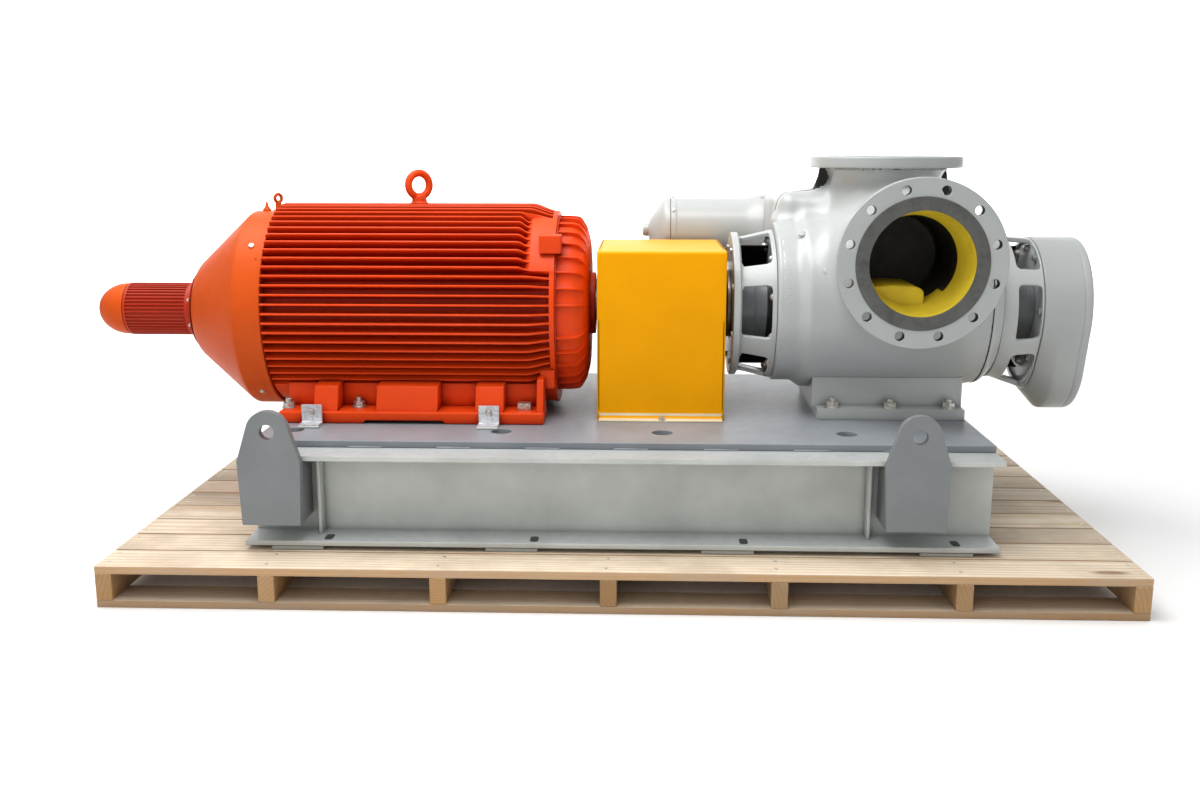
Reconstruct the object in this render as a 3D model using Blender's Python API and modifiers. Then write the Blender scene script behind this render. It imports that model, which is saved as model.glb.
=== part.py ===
"""Gear pump unit: electric motor, guarded coupling and flanged rotary pump on a steel base and pallet.

Metres, +Z up, +X from the motor to the pump along the shaft, +Y to the rear. The origin is on
the floor, under the middle of the whole unit.
"""

import math

import bmesh
import bpy
from mathutils import Matrix, Vector

# General
GAP = 0.0003                    # clearance left between pieces that touch
OVERLAP = 0.002                 # how far pieces of one casting run into each other
ROUND = 48                      # sides of a large round piece
ROUND_SMALL = 32                # sides of a small round piece

# Timber pallet
PALLET_LEFT = -1.085
PALLET_RIGHT = 1.322
PALLET_WIDTH = 1.344
DECK_THICKNESS = 0.020
BEARER_X = (-1.066, -0.687, -0.290, 0.101, 0.490, 0.906, 1.303)
BEARER_WIDTH = 0.038
BEARER_HEIGHT = 0.063
BOTTOM_BOARD_THICKNESS = 0.018
BOTTOM_BOARD_WIDTH = 0.100
DECK_TOP = BOTTOM_BOARD_THICKNESS + BEARER_HEIGHT + DECK_THICKNESS

# Steel base frame
BASE_LEFT = -0.772
BASE_RIGHT = 1.018
RAIL_Y = 0.444                  # centre line of each rail from the shaft line
RAIL_HEIGHT = 0.222
RAIL_FLANGE = 0.200
RAIL_FLANGE_THICKNESS = 0.013
RAIL_WEB = 0.009
PAD_THICKNESS = 0.010
PAD_LENGTH = 0.125
PAD_COUNT = 4
PLATE_THICKNESS = 0.0165
PLATE_HALF_WIDTH = 0.458
CROSS_BEAM_INSET = 0.060
RAIL_BOTTOM = DECK_TOP + GAP + PAD_THICKNESS
RAIL_TOP = RAIL_BOTTOM + RAIL_HEIGHT
PLATE_BOTTOM = RAIL_TOP + GAP
PLATE_TOP = PLATE_BOTTOM + PLATE_THICKNESS
PLATE_HOLE_X = (-0.700, -0.176, 0.226, 0.683)
PLATE_HOLE_Y = 0.345
PLATE_HOLE_RADIUS = 0.026

# Lifting lugs on the rails
LUG_X = (-0.699, 0.813)
LUG_WIDTH = 0.150
LUG_THICKNESS = 0.022
LUG_BOTTOM = RAIL_BOTTOM + 0.058
LUG_HOLE_Z = 0.395
LUG_TOP_RADIUS = 0.050
LUG_HOLE_RADIUS = 0.018
LUG_STIFFENER_THICKNESS = 0.012

# Shaft line
SHAFT_HEIGHT = 0.280            # shaft height of the motor over its feet
FOOT_BOTTOM = PLATE_TOP + GAP
SHAFT_Z = FOOT_BOTTOM + SHAFT_HEIGHT
SHAFT_CENTRE = (0.0, 0.0, SHAFT_Z)
SHAFT_CLEARANCE = 0.0008
MOTOR_SHAFT_RADIUS = 0.0375
PUMP_SHAFT_RADIUS = 0.0325

# Motor
FRAME_LEFT = -0.798
FRAME_RIGHT = -0.050
FIN_RIGHT = -0.110
FIN_COUNT = 68
FIN_RADIUS = 0.268
FIN_ROOT = 0.228
FIN_THICKNESS = 0.0055
FIN_LOWEST_ANGLE = -52.0        # degrees below the horizontal
SHIELD_RIGHT = 0.036
SHIELD_RADIUS = 0.236
BEARING_CAP_RADIUS = 0.084
BEARING_CAP_RIGHT = 0.048
TERMINAL_BOX_X = (-0.400, -0.140)
TERMINAL_BOX_Y = (0.278, 0.388)
TERMINAL_BOX_Z = (-0.060, 0.150)
FOOT_LEFT = -0.758
FOOT_RIGHT = -0.077
FOOT_THICKNESS = 0.030
FOOT_OUTER_Y = 0.275
FOOT_INNER_Y = 0.150
FOOT_RELIEF = (-0.542, -0.328, 0.008)
GUSSET_SPANS = ((-0.671, -0.609), (-0.509, -0.350), (-0.253, -0.180), (-0.095, -0.077))

# Forced ventilation hood and its fan motor
HOOD_LEFT = -0.872
HOOD_RADIUS = 0.262
HOOD_DROP = 0.015               # the hood's centre below the shaft line, as it hangs
CONE_LEFT = -1.036
CONE_SMALL_RADIUS = 0.114
FAN_DROP = 0.021                # the fan motor's centre below the shaft line
FAN_FLANGE_LEFT = -1.047
FAN_FLANGE_RADIUS = 0.115
BARREL_LEFT = -1.237
BARREL_RADIUS = 0.072
DOME_TIP = -1.324

# Coupling and guard
MOTOR_HUB = (0.070, 0.165)
PUMP_HUB = (0.245, 0.340)
HUB_RADIUS = 0.090
SPACER_RADIUS = 0.048
GUARD_LEFT = 0.058
GUARD_RIGHT = 0.388
GUARD_HALF_WIDTH = 0.208
GUARD_TOP = 0.788
GUARD_SHEET = 0.003
GUARD_LIP = 0.022
GUARD_SLOT_HALF = 0.060

# Pump drive end
COVER_PLATE_LEFT = 0.396
BRACKET_LEFT = 0.409
BRACKET_DISC_THICKNESS = 0.018
BRACKET_RADIUS = 0.192
BRACKET_CAGE_RADII = (0.178, 0.200)
BRACKET_WALL = 0.012
BRACKET_WINDOWS = 6
BEARING_COVER_RADIUS = 0.089
BEARING_HOUSING_RADIUS = 0.094

# Pump casing
END_COVER_LEFT = 0.520
CASING_LEFT = 0.549
CASING_RIGHT = 1.060
GEAR_COVER_RIGHT = 1.092
CASING_Z = 0.640
CASING_CENTRE = (0.0, 0.0, CASING_Z)
CASING_RADIUS = 0.232
END_COVER_RADIUS = 0.215
GEAR_COVER_RADIUS = 0.204
PEDESTAL_LEFT = 0.632
PEDESTAL_RIGHT = 1.012
PEDESTAL_BLOCK_X = (0.622, 1.013)
PEDESTAL_HALF_WIDTH = 0.140
PEDESTAL_FOOT_HALF_WIDTH = 0.185
PEDESTAL_FOOT_THICKNESS = 0.028

# Suction flange at the front
SUCTION_X = 0.834
SUCTION_Z = 0.775
SUCTION_FACE_Y = -0.402
FLANGE_OUTER_RADIUS = 0.2025
FLANGE_THICKNESS = 0.030
FLANGE_BOLT_CIRCLE_RADIUS = 0.1775
FLANGE_BOLT_RADIUS = 0.013
FLANGE_BOLTS = 12
RAISED_FACE_RADIUS = 0.158
RAISED_FACE = 0.002
BORE_RADIUS = 0.125
BORE_INNER_RADIUS = 0.105
BORE_TAPER_Y = -0.312
SUCTION_NECK_RADII = (0.160, 0.195)

# Discharge flange on top
DISCHARGE_X = 0.814
DISCHARGE_TOP = 1.022
DISCHARGE_RADIUS = 0.1975
DISCHARGE_THICKNESS = 0.029
DISCHARGE_BOLT_CIRCLE_RADIUS = 0.175
DISCHARGE_BOLT_RADIUS = 0.011
DISCHARGE_NECK_RADIUS = 0.148
DISCHARGE_BORE_RADIUS = 0.120

# Relief valve at the rear of the casing
RELIEF_Y = 0.315
RELIEF_Z = 0.808
RELIEF_RADIUS = 0.096
RELIEF_FLANGE_RADIUS = 0.106
RELIEF_CAP_LEFT = 0.174
RELIEF_BODY_LEFT = 0.255
RELIEF_BODY_RIGHT = 0.530
CHAMBER_SPAN = (0.690, 0.900)
CHAMBER_Y = 0.150
CHAMBER_Z = 0.773
CHAMBER_RADIUS = 0.157

# Timing gear end
GEAR_BRACKET_RADIUS = 0.189
GEAR_BRACKET_FLANGE = 0.040
GEAR_BRACKET_RIGHT = 1.200
GEAR_BRACKET_WALL = 0.012
GEAR_CASE_FULL = 1.247          # from here on the case has its full outline
GEAR_CASE_RIGHT = 1.300
GEAR_COVER_PLATE_RIGHT = 1.324
GEAR_RADIUS = 0.183
GEAR_LOWER_RADIUS = 0.150
GEAR_LOWER_Z = 0.501
GEAR_NARROW_Z = 0.553           # centre of the lower curve where the bracket meets the case

PARTS = "gear_pump_unit"
CUTTERS = "cutters"


def clear_scene():
    """Remove every object and make the two collections."""
    for item in list(bpy.data.objects):
        bpy.data.objects.remove(item, do_unlink=True)
    for name in (PARTS, CUTTERS):
        collection = bpy.data.collections.new(name)
        bpy.context.scene.collection.children.link(collection)


def make_material(name, colour, roughness, metallic=0.0):
    """A plain painted, metal or timber finish."""
    material = bpy.data.materials.new(name)
    material.use_nodes = True
    shader = material.node_tree.nodes["Principled BSDF"]
    shader.inputs["Base Color"].default_value = (*colour, 1.0)
    shader.inputs["Roughness"].default_value = roughness
    shader.inputs["Metallic"].default_value = metallic
    return material


def make_materials():
    """The finishes, by name."""
    return {
        "motor": make_material("motor_red_enamel", (0.72, 0.06, 0.01), 0.45),
        "hood": make_material("hood_orange_enamel", (0.80, 0.14, 0.02), 0.40),
        "barrel": make_material("fan_motor_enamel", (0.35, 0.03, 0.01), 0.45),
        "guard": make_material("guard_yellow_enamel", (0.75, 0.36, 0.01), 0.40),
        "pump": make_material("pump_grey_enamel", (0.46, 0.48, 0.48), 0.25),
        "base": make_material("base_grey_paint", (0.34, 0.35, 0.34), 0.50),
        "lug": make_material("lug_grey_paint", (0.20, 0.21, 0.20), 0.55),
        "steel": make_material("machined_steel", (0.45, 0.45, 0.46), 0.35, 1.0),
        "zinc": make_material("zinc_plated_steel", (0.55, 0.55, 0.58), 0.40, 1.0),
        "pine": make_material("pallet_pine", (0.70, 0.52, 0.32), 0.75),
    }


def link(item, material=None, collection=PARTS):
    """Put an object in a collection and give it its finish."""
    bpy.data.collections[collection].objects.link(item)
    if material is not None:
        item.data.materials.append(material)
    return item


def mesh_object(name, shape, material=None, collection=PARTS):
    """An object made from a bmesh, which is freed."""
    bmesh.ops.recalc_face_normals(shape, faces=shape.faces)
    mesh = bpy.data.meshes.new(name)
    shape.to_mesh(mesh)
    shape.free()
    return link(bpy.data.objects.new(name, mesh), material, collection)


def box(name, x, y, z, material=None, collection=PARTS):
    """A box between the pairs of values x, y and z."""
    shape = bmesh.new()
    size = Vector((x[1] - x[0], y[1] - y[0], z[1] - z[0]))
    place = Matrix.Translation(((x[0] + x[1]) / 2, (y[0] + y[1]) / 2, (z[0] + z[1]) / 2))
    bmesh.ops.create_cube(shape, size=1.0, matrix=place @ Matrix.Diagonal((*size, 1.0)))
    return mesh_object(name, shape, material, collection)


def along(axis):
    """A rotation that turns local Z to the world axis named."""
    return {
        "X": Matrix(((0, 0, 1, 0), (1, 0, 0, 0), (0, 1, 0, 0), (0, 0, 0, 1))),
        "Y": Matrix(((1, 0, 0, 0), (0, 0, 1, 0), (0, -1, 0, 0), (0, 0, 0, 1))),
        "Z": Matrix.Identity(4),
    }[axis]


def cylinder(name, axis, centre, radius, length, material=None, collection=PARTS, sides=ROUND_SMALL,
             end_radius=None):
    """A cylinder, or a cone where end_radius is given, centred on centre along an axis."""
    shape = bmesh.new()
    bmesh.ops.create_cone(
        shape, cap_ends=True, segments=sides, radius1=radius,
        radius2=radius if end_radius is None else end_radius, depth=length,
        matrix=Matrix.Translation(centre) @ along(axis))
    return mesh_object(name, shape, material, collection)


def turned(name, profile, centre, material=None, collection=PARTS, sides=ROUND, closed=False, axis="X"):
    """Turn a profile of (place along the axis, radius) points about a line through centre.

    The outer side of the profile runs the way the axis does.
    """
    shape = bmesh.new()
    corners = [shape.verts.new((radius, 0.0, x)) for x, radius in reversed(profile)]
    for start, end in zip(corners, corners[1:]):
        shape.edges.new((start, end))
    if closed:
        shape.edges.new((corners[-1], corners[0]))
    mesh = bpy.data.meshes.new(name)
    shape.to_mesh(mesh)
    shape.free()
    item = link(bpy.data.objects.new(name, mesh), material, collection)
    item.matrix_world = Matrix.Translation(centre) @ along(axis)
    screw = item.modifiers.new("turn", "SCREW")
    screw.angle = math.tau
    screw.steps = sides
    screw.render_steps = sides
    screw.use_merge_vertices = True
    screw.merge_threshold = 0.00002
    screw.use_smooth_shade = False
    return item


def arc(centre, radius, start, end, steps):
    """Points on an arc in degrees, both ends included."""
    points = []
    for step in range(steps + 1):
        angle = math.radians(start + (end - start) * step / steps)
        points.append((centre[0] + radius * math.cos(angle), centre[1] + radius * math.sin(angle)))
    return points


def circle(centre, radius, steps=ROUND_SMALL):
    """Points round a full circle, the last not repeating the first."""
    return arc(centre, radius, 0.0, 360.0 * (steps - 1) / steps, steps - 1)


def place_along(axis, span):
    """Where a flat outline solid goes: its middle half way along the span, its depth along the axis."""
    middle = {"X": Vector((1, 0, 0)), "Y": Vector((0, 1, 0)), "Z": Vector((0, 0, 1))}[axis]
    return Matrix.Translation(middle * (span[0] + span[1]) / 2) @ along(axis)


def outline_solid(name, points, axis, span, material=None, collection=PARTS):
    """A flat outline carried along an axis between the two values of span.

    On axis X an outline point is (y, z), on axis Y it is (x, -z) and on axis Z it is (x, y).
    """
    half = (span[1] - span[0]) / 2
    shape = bmesh.new()
    low = [shape.verts.new((u, v, -half)) for u, v in points]
    high = [shape.verts.new((u, v, half)) for u, v in points]
    count = len(points)
    for index in range(count):
        following = (index + 1) % count
        shape.faces.new((low[index], low[following], high[following], high[index]))
    shape.faces.new(low)
    shape.faces.new(high)
    item = mesh_object(name, shape, material, collection)
    item.matrix_world = place_along(axis, span)
    return item


def drill(target, name, axis, places, radius, span, sides=ROUND_SMALL):
    """Cut round holes through a piece; each place is the hole's centre on the plane across the axis."""
    shape = bmesh.new()
    for u, v in places:
        bmesh.ops.create_cone(shape, cap_ends=True, segments=sides, radius1=radius, radius2=radius,
                              depth=span[1] - span[0], matrix=Matrix.Translation((u, v, 0.0)))
    cutter = mesh_object(name, shape, collection=CUTTERS)
    cutter.matrix_world = place_along(axis, span)
    return cut(target, cutter)


def loft(name, sections, material=None, collection=PARTS):
    """A closed solid through sections of (x, outline), whose outlines have equal numbers of (y, z) points."""
    shape = bmesh.new()
    rings = [[shape.verts.new((x, y, z)) for y, z in points] for x, points in sections]
    for near, far in zip(rings, rings[1:]):
        count = len(near)
        for index in range(count):
            following = (index + 1) % count
            shape.faces.new((near[index], near[following], far[following]))
            shape.faces.new((near[index], far[following], far[index]))
    shape.faces.new(rings[0])
    shape.faces.new(rings[-1])
    return mesh_object(name, shape, material, collection)


def flip(points):
    """Outline points given as (x, z), as the outline of a solid along Y needs them."""
    return [(x, -z) for x, z in points]


def combine(target, tool, operation):
    """Cut a tool from a piece or join it to the piece, and hide the tool."""
    tool.hide_render = True
    tool.display_type = "WIRE"
    modifier = target.modifiers.new(operation.lower() + "_" + tool.name, "BOOLEAN")
    modifier.operation = operation
    modifier.solver = "EXACT"
    modifier.object = tool
    return target


def cut(target, tool):
    """Cut a tool from a piece."""
    return combine(target, tool, "DIFFERENCE")


def join(target, tool):
    """Join a tool to a piece of one casting or weldment."""
    return combine(target, tool, "UNION")


def bolt_circle(centre, radius, count):
    """Hole centres round a flange, straddling its centre lines."""
    return [(centre[0] + radius * math.cos(math.tau * (index + 0.5) / count),
             centre[1] + radius * math.sin(math.tau * (index + 0.5) / count)) for index in range(count)]


def build_pallet(finish):
    """A plain deck slab on seven bearers, which three boards tie together underneath."""
    ends = (PALLET_LEFT, PALLET_RIGHT)
    half = PALLET_WIDTH / 2
    deck_bottom = DECK_TOP - DECK_THICKNESS
    box("pallet_deck", ends, (-half, half), (deck_bottom + GAP, DECK_TOP), finish["pine"])
    board_spans = ((-half, -half + BOTTOM_BOARD_WIDTH),
                   (-BOTTOM_BOARD_WIDTH / 2, BOTTOM_BOARD_WIDTH / 2),
                   (half - BOTTOM_BOARD_WIDTH, half))
    bearers = None
    for index, middle in enumerate(BEARER_X):
        span = (middle - BEARER_WIDTH / 2, middle + BEARER_WIDTH / 2)
        height = (BOTTOM_BOARD_THICKNESS - OVERLAP, deck_bottom)
        if bearers is None:
            bearers = box("pallet_bearers", span, (-half, half), height, finish["pine"])
        else:
            bearer = box(f"bearer_{index}", span, (-half, half), height, collection=CUTTERS)
            join(bearers, bearer)
    for index, board in enumerate(board_spans):
        slat = box(f"bottom_board_{index}", ends, board, (0.0, BOTTOM_BOARD_THICKNESS),
                   collection=CUTTERS)
        join(bearers, slat)


def rail_outline(centre_y):
    """The H section of a rail, as (y, z) points."""
    flange = RAIL_FLANGE / 2
    web = RAIL_WEB / 2
    low = RAIL_BOTTOM + RAIL_FLANGE_THICKNESS
    high = RAIL_TOP - RAIL_FLANGE_THICKNESS
    half = [(flange, RAIL_BOTTOM), (flange, low), (web, low), (web, high), (flange, high), (flange, RAIL_TOP)]
    mirrored = [(-y, z) for y, z in reversed(half)]
    return [(centre_y + y, z) for y, z in half + mirrored]


def build_rail(name, side, finish):
    """One H beam of the base with its foot pads; side is -1 at the front and 1 at the rear."""
    centre = side * RAIL_Y
    rail = outline_solid(name, rail_outline(centre), "X", (BASE_LEFT, BASE_RIGHT), finish["base"])
    flange = RAIL_FLANGE / 2 - 0.002
    travel = BASE_RIGHT - BASE_LEFT - 2 * PAD_LENGTH
    for index in range(PAD_COUNT):
        start = BASE_LEFT + PAD_LENGTH / 2 + travel * index / (PAD_COUNT - 1)
        pad = box(f"{name}_pad_{index}", (start, start + PAD_LENGTH), (centre - flange, centre + flange),
                  (DECK_TOP + GAP, RAIL_BOTTOM + OVERLAP), collection=CUTTERS)
        join(rail, pad)
    return rail


def build_base(finish):
    """Rails, cross beams and the top plate with its holes."""
    build_rail("front_rail", -1, finish)
    build_rail("rear_rail", 1, finish)
    reach = RAIL_Y - RAIL_FLANGE / 2 - GAP
    for name, start in (("left_cross_beam", BASE_LEFT + CROSS_BEAM_INSET),
                        ("right_cross_beam", BASE_RIGHT - CROSS_BEAM_INSET - RAIL_WEB)):
        box(name, (start, start + RAIL_WEB), (-reach, reach), (RAIL_BOTTOM, RAIL_TOP), finish["base"])
    edge = [(BASE_LEFT, -PLATE_HALF_WIDTH), (BASE_RIGHT, -PLATE_HALF_WIDTH),
            (BASE_RIGHT, PLATE_HALF_WIDTH), (BASE_LEFT, PLATE_HALF_WIDTH)]
    plate = outline_solid("top_plate", edge, "Z", (PLATE_BOTTOM, PLATE_TOP), finish["base"])
    places = [(x, side * PLATE_HOLE_Y) for x in PLATE_HOLE_X for side in (-1, 1)]
    drill(plate, "plate_holes", "Z", places, PLATE_HOLE_RADIUS, (PLATE_BOTTOM - 0.020, PLATE_TOP + 0.020), 20)


def build_lug(name, centre_x, side, inward, finish):
    """A lifting lug: a round-topped plate on the rail with a stiffener back to the rail web."""
    half = LUG_WIDTH / 2
    shoulder = RAIL_TOP - 0.010
    lean = 12.0
    top = arc((centre_x, LUG_HOLE_Z), LUG_TOP_RADIUS, 0.0 + lean, 180.0 - lean, 12)
    points = [(centre_x - half + 0.006, LUG_BOTTOM), (centre_x + half - 0.006, LUG_BOTTOM),
              (centre_x + half, shoulder), *top, (centre_x - half, shoulder)]
    face = RAIL_Y + RAIL_FLANGE / 2 + GAP
    span = (face, face + LUG_THICKNESS) if side > 0 else (-face - LUG_THICKNESS, -face)
    lug = outline_solid(name, flip(points), "Y", span, finish["lug"])
    edge = centre_x + inward * (half - 0.006)
    stiffener_x = (edge - LUG_STIFFENER_THICKNESS, edge) if inward > 0 else (edge, edge + LUG_STIFFENER_THICKNESS)
    web_face = RAIL_Y + RAIL_WEB / 2 + GAP
    reach = (web_face, face + OVERLAP) if side > 0 else (-face - OVERLAP, -web_face)
    stiffener = box(name + "_stiffener", stiffener_x, reach,
                    (LUG_BOTTOM, RAIL_TOP - RAIL_FLANGE_THICKNESS - GAP), collection=CUTTERS)
    join(lug, stiffener)
    return drill(lug, name + "_hole", "Y", flip([(centre_x, LUG_HOLE_Z)]), LUG_HOLE_RADIUS,
                 (span[0] - 0.020, span[1] + 0.020), 20)


def build_lugs(finish):
    """The four lifting lugs, two on each rail."""
    for end, centre_x, inward in (("left", LUG_X[0], 1), ("right", LUG_X[1], -1)):
        build_lug(f"lifting_lug_front_{end}", centre_x, -1, inward, finish)
        build_lug(f"lifting_lug_rear_{end}", centre_x, 1, inward, finish)


def finned_outline():
    """The frame's cross section: a round body with radial fins, and a plain saddle between the feet."""
    points = []
    pitch = 360.0 / FIN_COUNT
    for index in range(FIN_COUNT):
        middle = index * pitch
        from_side = middle if middle <= 180.0 else middle - 360.0
        below = from_side < 0.0 and abs(from_side + 90.0) < 90.0 + FIN_LOWEST_ANGLE
        root = math.degrees(FIN_THICKNESS / 2 / FIN_ROOT)
        tip = math.degrees(FIN_THICKNESS / 2 / FIN_RADIUS)
        if below:
            points += arc((0.0, SHAFT_Z), FIN_RADIUS, middle - tip, middle + tip, 1)
        else:
            points += arc((0.0, SHAFT_Z), FIN_ROOT, middle - root, middle - root, 1)[:1]
            points += arc((0.0, SHAFT_Z), FIN_RADIUS, middle - tip, middle + tip, 1)
            points += arc((0.0, SHAFT_Z), FIN_ROOT, middle + root, middle + root, 1)[:1]
    return points


def build_motor_foot(side, finish):
    """One foot: a flange with a relieved middle, a wall up to the frame and the gussets."""
    inner, outer = sorted((side * FOOT_INNER_Y, side * FOOT_OUTER_Y))
    name = "motor_foot_front" if side < 0 else "motor_foot_rear"
    flange_top = FOOT_BOTTOM + FOOT_THICKNESS
    relief_left, relief_right, relief_height = FOOT_RELIEF
    edge = [(FOOT_LEFT, FOOT_BOTTOM), (relief_left, FOOT_BOTTOM),
            (relief_left + relief_height, FOOT_BOTTOM + relief_height),
            (relief_right - relief_height, FOOT_BOTTOM + relief_height), (relief_right, FOOT_BOTTOM),
            (FOOT_RIGHT, FOOT_BOTTOM), (FOOT_RIGHT, flange_top), (FOOT_LEFT, flange_top)]
    foot = outline_solid(name, flip(edge), "Y", (inner, outer), finish["motor"])
    wall_y = sorted((side * (FOOT_INNER_Y + 0.003), side * (FOOT_INNER_Y + 0.023)))
    wall = box(f"{name}_wall", (FOOT_LEFT + 0.004, FOOT_RIGHT - 0.004), wall_y,
               (flange_top - OVERLAP, SHAFT_Z - 0.140), collection=CUTTERS)
    join(foot, wall)
    for index, (start, end) in enumerate(GUSSET_SPANS):
        section = [(side * (FOOT_INNER_Y + 0.008), flange_top - OVERLAP),
                   (side * (FOOT_OUTER_Y - 0.012), flange_top - OVERLAP),
                   (side * (FOOT_OUTER_Y - 0.046), SHAFT_Z - 0.150),
                   (side * (FOOT_INNER_Y + 0.008), SHAFT_Z - 0.130)]
        gusset = outline_solid(f"{name}_gusset_{index}", section, "X", (start, end - 0.0005), collection=CUTTERS)
        join(foot, gusset)
    clearance = cylinder(f"{name}_clearance", "X", ((FRAME_LEFT + FRAME_RIGHT) / 2, 0.0, SHAFT_Z), FIN_RADIUS + GAP,
                         FRAME_RIGHT - FRAME_LEFT + 0.100, collection=CUTTERS, sides=4 * FIN_COUNT)
    return cut(foot, clearance)


def build_motor(finish):
    """Frame with fins and feet, drive end shield, lifting eye and terminal box."""
    frame = outline_solid("motor_frame", finned_outline(), "X", (FRAME_LEFT, FIN_RIGHT), finish["motor"])
    ring = turned("frame_end_ring", [(FIN_RIGHT - 0.006, 0.0), (FIN_RIGHT - 0.006, 0.262), (FIN_RIGHT + 0.004, 0.262),
                                     (FRAME_RIGHT, 0.238), (FRAME_RIGHT, 0.0)],
                  SHAFT_CENTRE, collection=CUTTERS)
    join(frame, ring)
    for side in (-1, 1):
        build_motor_foot(side, finish)

    shield_left = FRAME_RIGHT + GAP
    bore = MOTOR_SHAFT_RADIUS + SHAFT_CLEARANCE
    bore_end = SHIELD_RIGHT - 0.060
    turned("motor_drive_shield", [
        (shield_left, 0.0), (shield_left, SHIELD_RADIUS), (-0.020, SHIELD_RADIUS - 0.002),
        (0.002, SHIELD_RADIUS - 0.010), (0.020, SHIELD_RADIUS - 0.030), (0.031, SHIELD_RADIUS - 0.062),
        (SHIELD_RIGHT, SHIELD_RADIUS - 0.100), (SHIELD_RIGHT, BEARING_CAP_RADIUS),
        (BEARING_CAP_RIGHT, BEARING_CAP_RADIUS), (BEARING_CAP_RIGHT, bore), (bore_end, bore), (bore_end, 0.0)],
        SHAFT_CENTRE, finish["motor"])

    build_eye("motor_lifting_eye", -0.428, SHAFT_Z + FIN_RADIUS + GAP, 0.031, 0.018, 0.012, 0.027, finish["motor"])

    left, right = TERMINAL_BOX_X
    low, high = TERMINAL_BOX_Z
    pad = box("terminal_box_pad", (left + 0.020, right - 0.020), (FIN_ROOT - 0.060, TERMINAL_BOX_Y[0] - GAP),
              (SHAFT_Z + low + 0.015, SHAFT_Z + high - 0.015), collection=CUTTERS)
    join(frame, pad)
    box("motor_terminal_box", TERMINAL_BOX_X, TERMINAL_BOX_Y, (SHAFT_Z + low, SHAFT_Z + high), finish["motor"])


def build_eye(name, x, base_z, outer, inner, thickness, stem, material):
    """A lifting eye: a ring in the XZ plane on a short stem, standing on base_z."""
    centre_z = base_z + stem + outer
    ring = circle((x, centre_z), outer, 28)
    eye = outline_solid(name, flip(ring), "Y", (-thickness / 2, thickness / 2), material)
    post = cylinder(name + "_stem", "Z", (x, 0.0, base_z + (stem + 0.006) / 2), (outer - inner) * 0.9,
                    stem + 0.006, collection=CUTTERS, sides=16)
    join(eye, post)
    return drill(eye, name + "_hole", "Y", flip([(x, centre_z)]), inner, (-thickness * 2, thickness * 2), 20)


def build_ventilation(finish):
    """The cone hood, the fan motor that stands out of it and the small eye on the hood."""
    hood_right = FRAME_LEFT - GAP
    hood_z = SHAFT_Z - HOOD_DROP
    fan_z = SHAFT_Z - FAN_DROP
    loft("motor_fan_hood", (
        (CONE_LEFT, circle((0.0, fan_z), CONE_SMALL_RADIUS, ROUND)),
        (HOOD_LEFT, circle((0.0, hood_z), HOOD_RADIUS, ROUND)),
        (hood_right, circle((0.0, hood_z), HOOD_RADIUS, ROUND))), finish["hood"])
    turned("fan_motor_barrel", [
        (BARREL_LEFT, 0.0), (BARREL_LEFT, BARREL_RADIUS), (FAN_FLANGE_LEFT, BARREL_RADIUS),
        (FAN_FLANGE_LEFT, FAN_FLANGE_RADIUS), (CONE_LEFT - GAP, FAN_FLANGE_RADIUS), (CONE_LEFT - GAP, 0.0)],
        (0.0, 0.0, fan_z), finish["barrel"])
    dome_right = BARREL_LEFT - GAP
    depth = dome_right - DOME_TIP
    radius = BARREL_RADIUS - 0.002
    dome = [(dome_right - depth * math.sin(math.radians(angle)), radius * math.cos(math.radians(angle)))
            for angle in range(90, -1, -10)]
    dome[0] = (DOME_TIP, 0.0)
    turned("fan_motor_dome", [*dome, (dome_right, 0.0)], (0.0, 0.0, fan_z), finish["hood"])
    build_eye("hood_lifting_eye", -0.812, hood_z + HOOD_RADIUS + GAP, 0.014, 0.007, 0.007, 0.020, finish["hood"])


def build_brackets(finish):
    """Four angle brackets that hold the jacking screws beside the motor feet."""
    for name, x, side in (("front_left", -0.668, -1), ("front_right", -0.214, -1),
                          ("rear_left", -0.668, 1), ("rear_right", -0.214, 1)):
        near = FOOT_OUTER_Y + 0.008
        far = near + 0.008
        end = near + 0.045
        bottom = PLATE_TOP + GAP
        section = [(side * near, bottom), (side * end, bottom), (side * end, bottom + 0.008),
                   (side * far, bottom + 0.008), (side * far, bottom + 0.052), (side * near, bottom + 0.052)]
        bracket = outline_solid(f"jacking_bracket_{name}", section, "X", (x - 0.026, x + 0.026), finish["zinc"])
        hole = cylinder(f"{name}_screw_hole", "Y", (x, side * (near + far) / 2, bottom + 0.034), 0.0085, 0.030,
                        collection=CUTTERS, sides=16)
        cut(bracket, hole)


def build_shaft_line(finish):
    """The pieces that turn together: both shafts, the coupling hubs and the spacer."""
    axis = bpy.data.objects.new("shaft_axis", None)
    bpy.data.collections[PARTS].objects.link(axis)
    axis.location = (0.0, 0.0, SHAFT_Z)
    pieces = (
        ("motor_shaft", SHIELD_RIGHT - 0.055, MOTOR_HUB[0] - GAP, MOTOR_SHAFT_RADIUS, "steel"),
        ("motor_coupling_hub", MOTOR_HUB[0], MOTOR_HUB[1], HUB_RADIUS, "steel"),
        ("coupling_spacer", MOTOR_HUB[1] + GAP, PUMP_HUB[0] - GAP, SPACER_RADIUS, "steel"),
        ("pump_coupling_hub", PUMP_HUB[0], PUMP_HUB[1], HUB_RADIUS, "steel"),
        ("pump_shaft", PUMP_HUB[1] + GAP, BRACKET_LEFT + 0.055, PUMP_SHAFT_RADIUS, "steel"),
    )
    for name, start, end, radius, metal in pieces:
        shape = bmesh.new()
        bmesh.ops.create_cone(shape, cap_ends=True, segments=ROUND, radius1=radius, radius2=radius,
                              depth=end - start, matrix=Matrix.Translation(((start + end) / 2, 0.0, 0.0)) @ along("X"))
        piece = mesh_object(name, shape, finish[metal])
        piece.parent = axis


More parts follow.
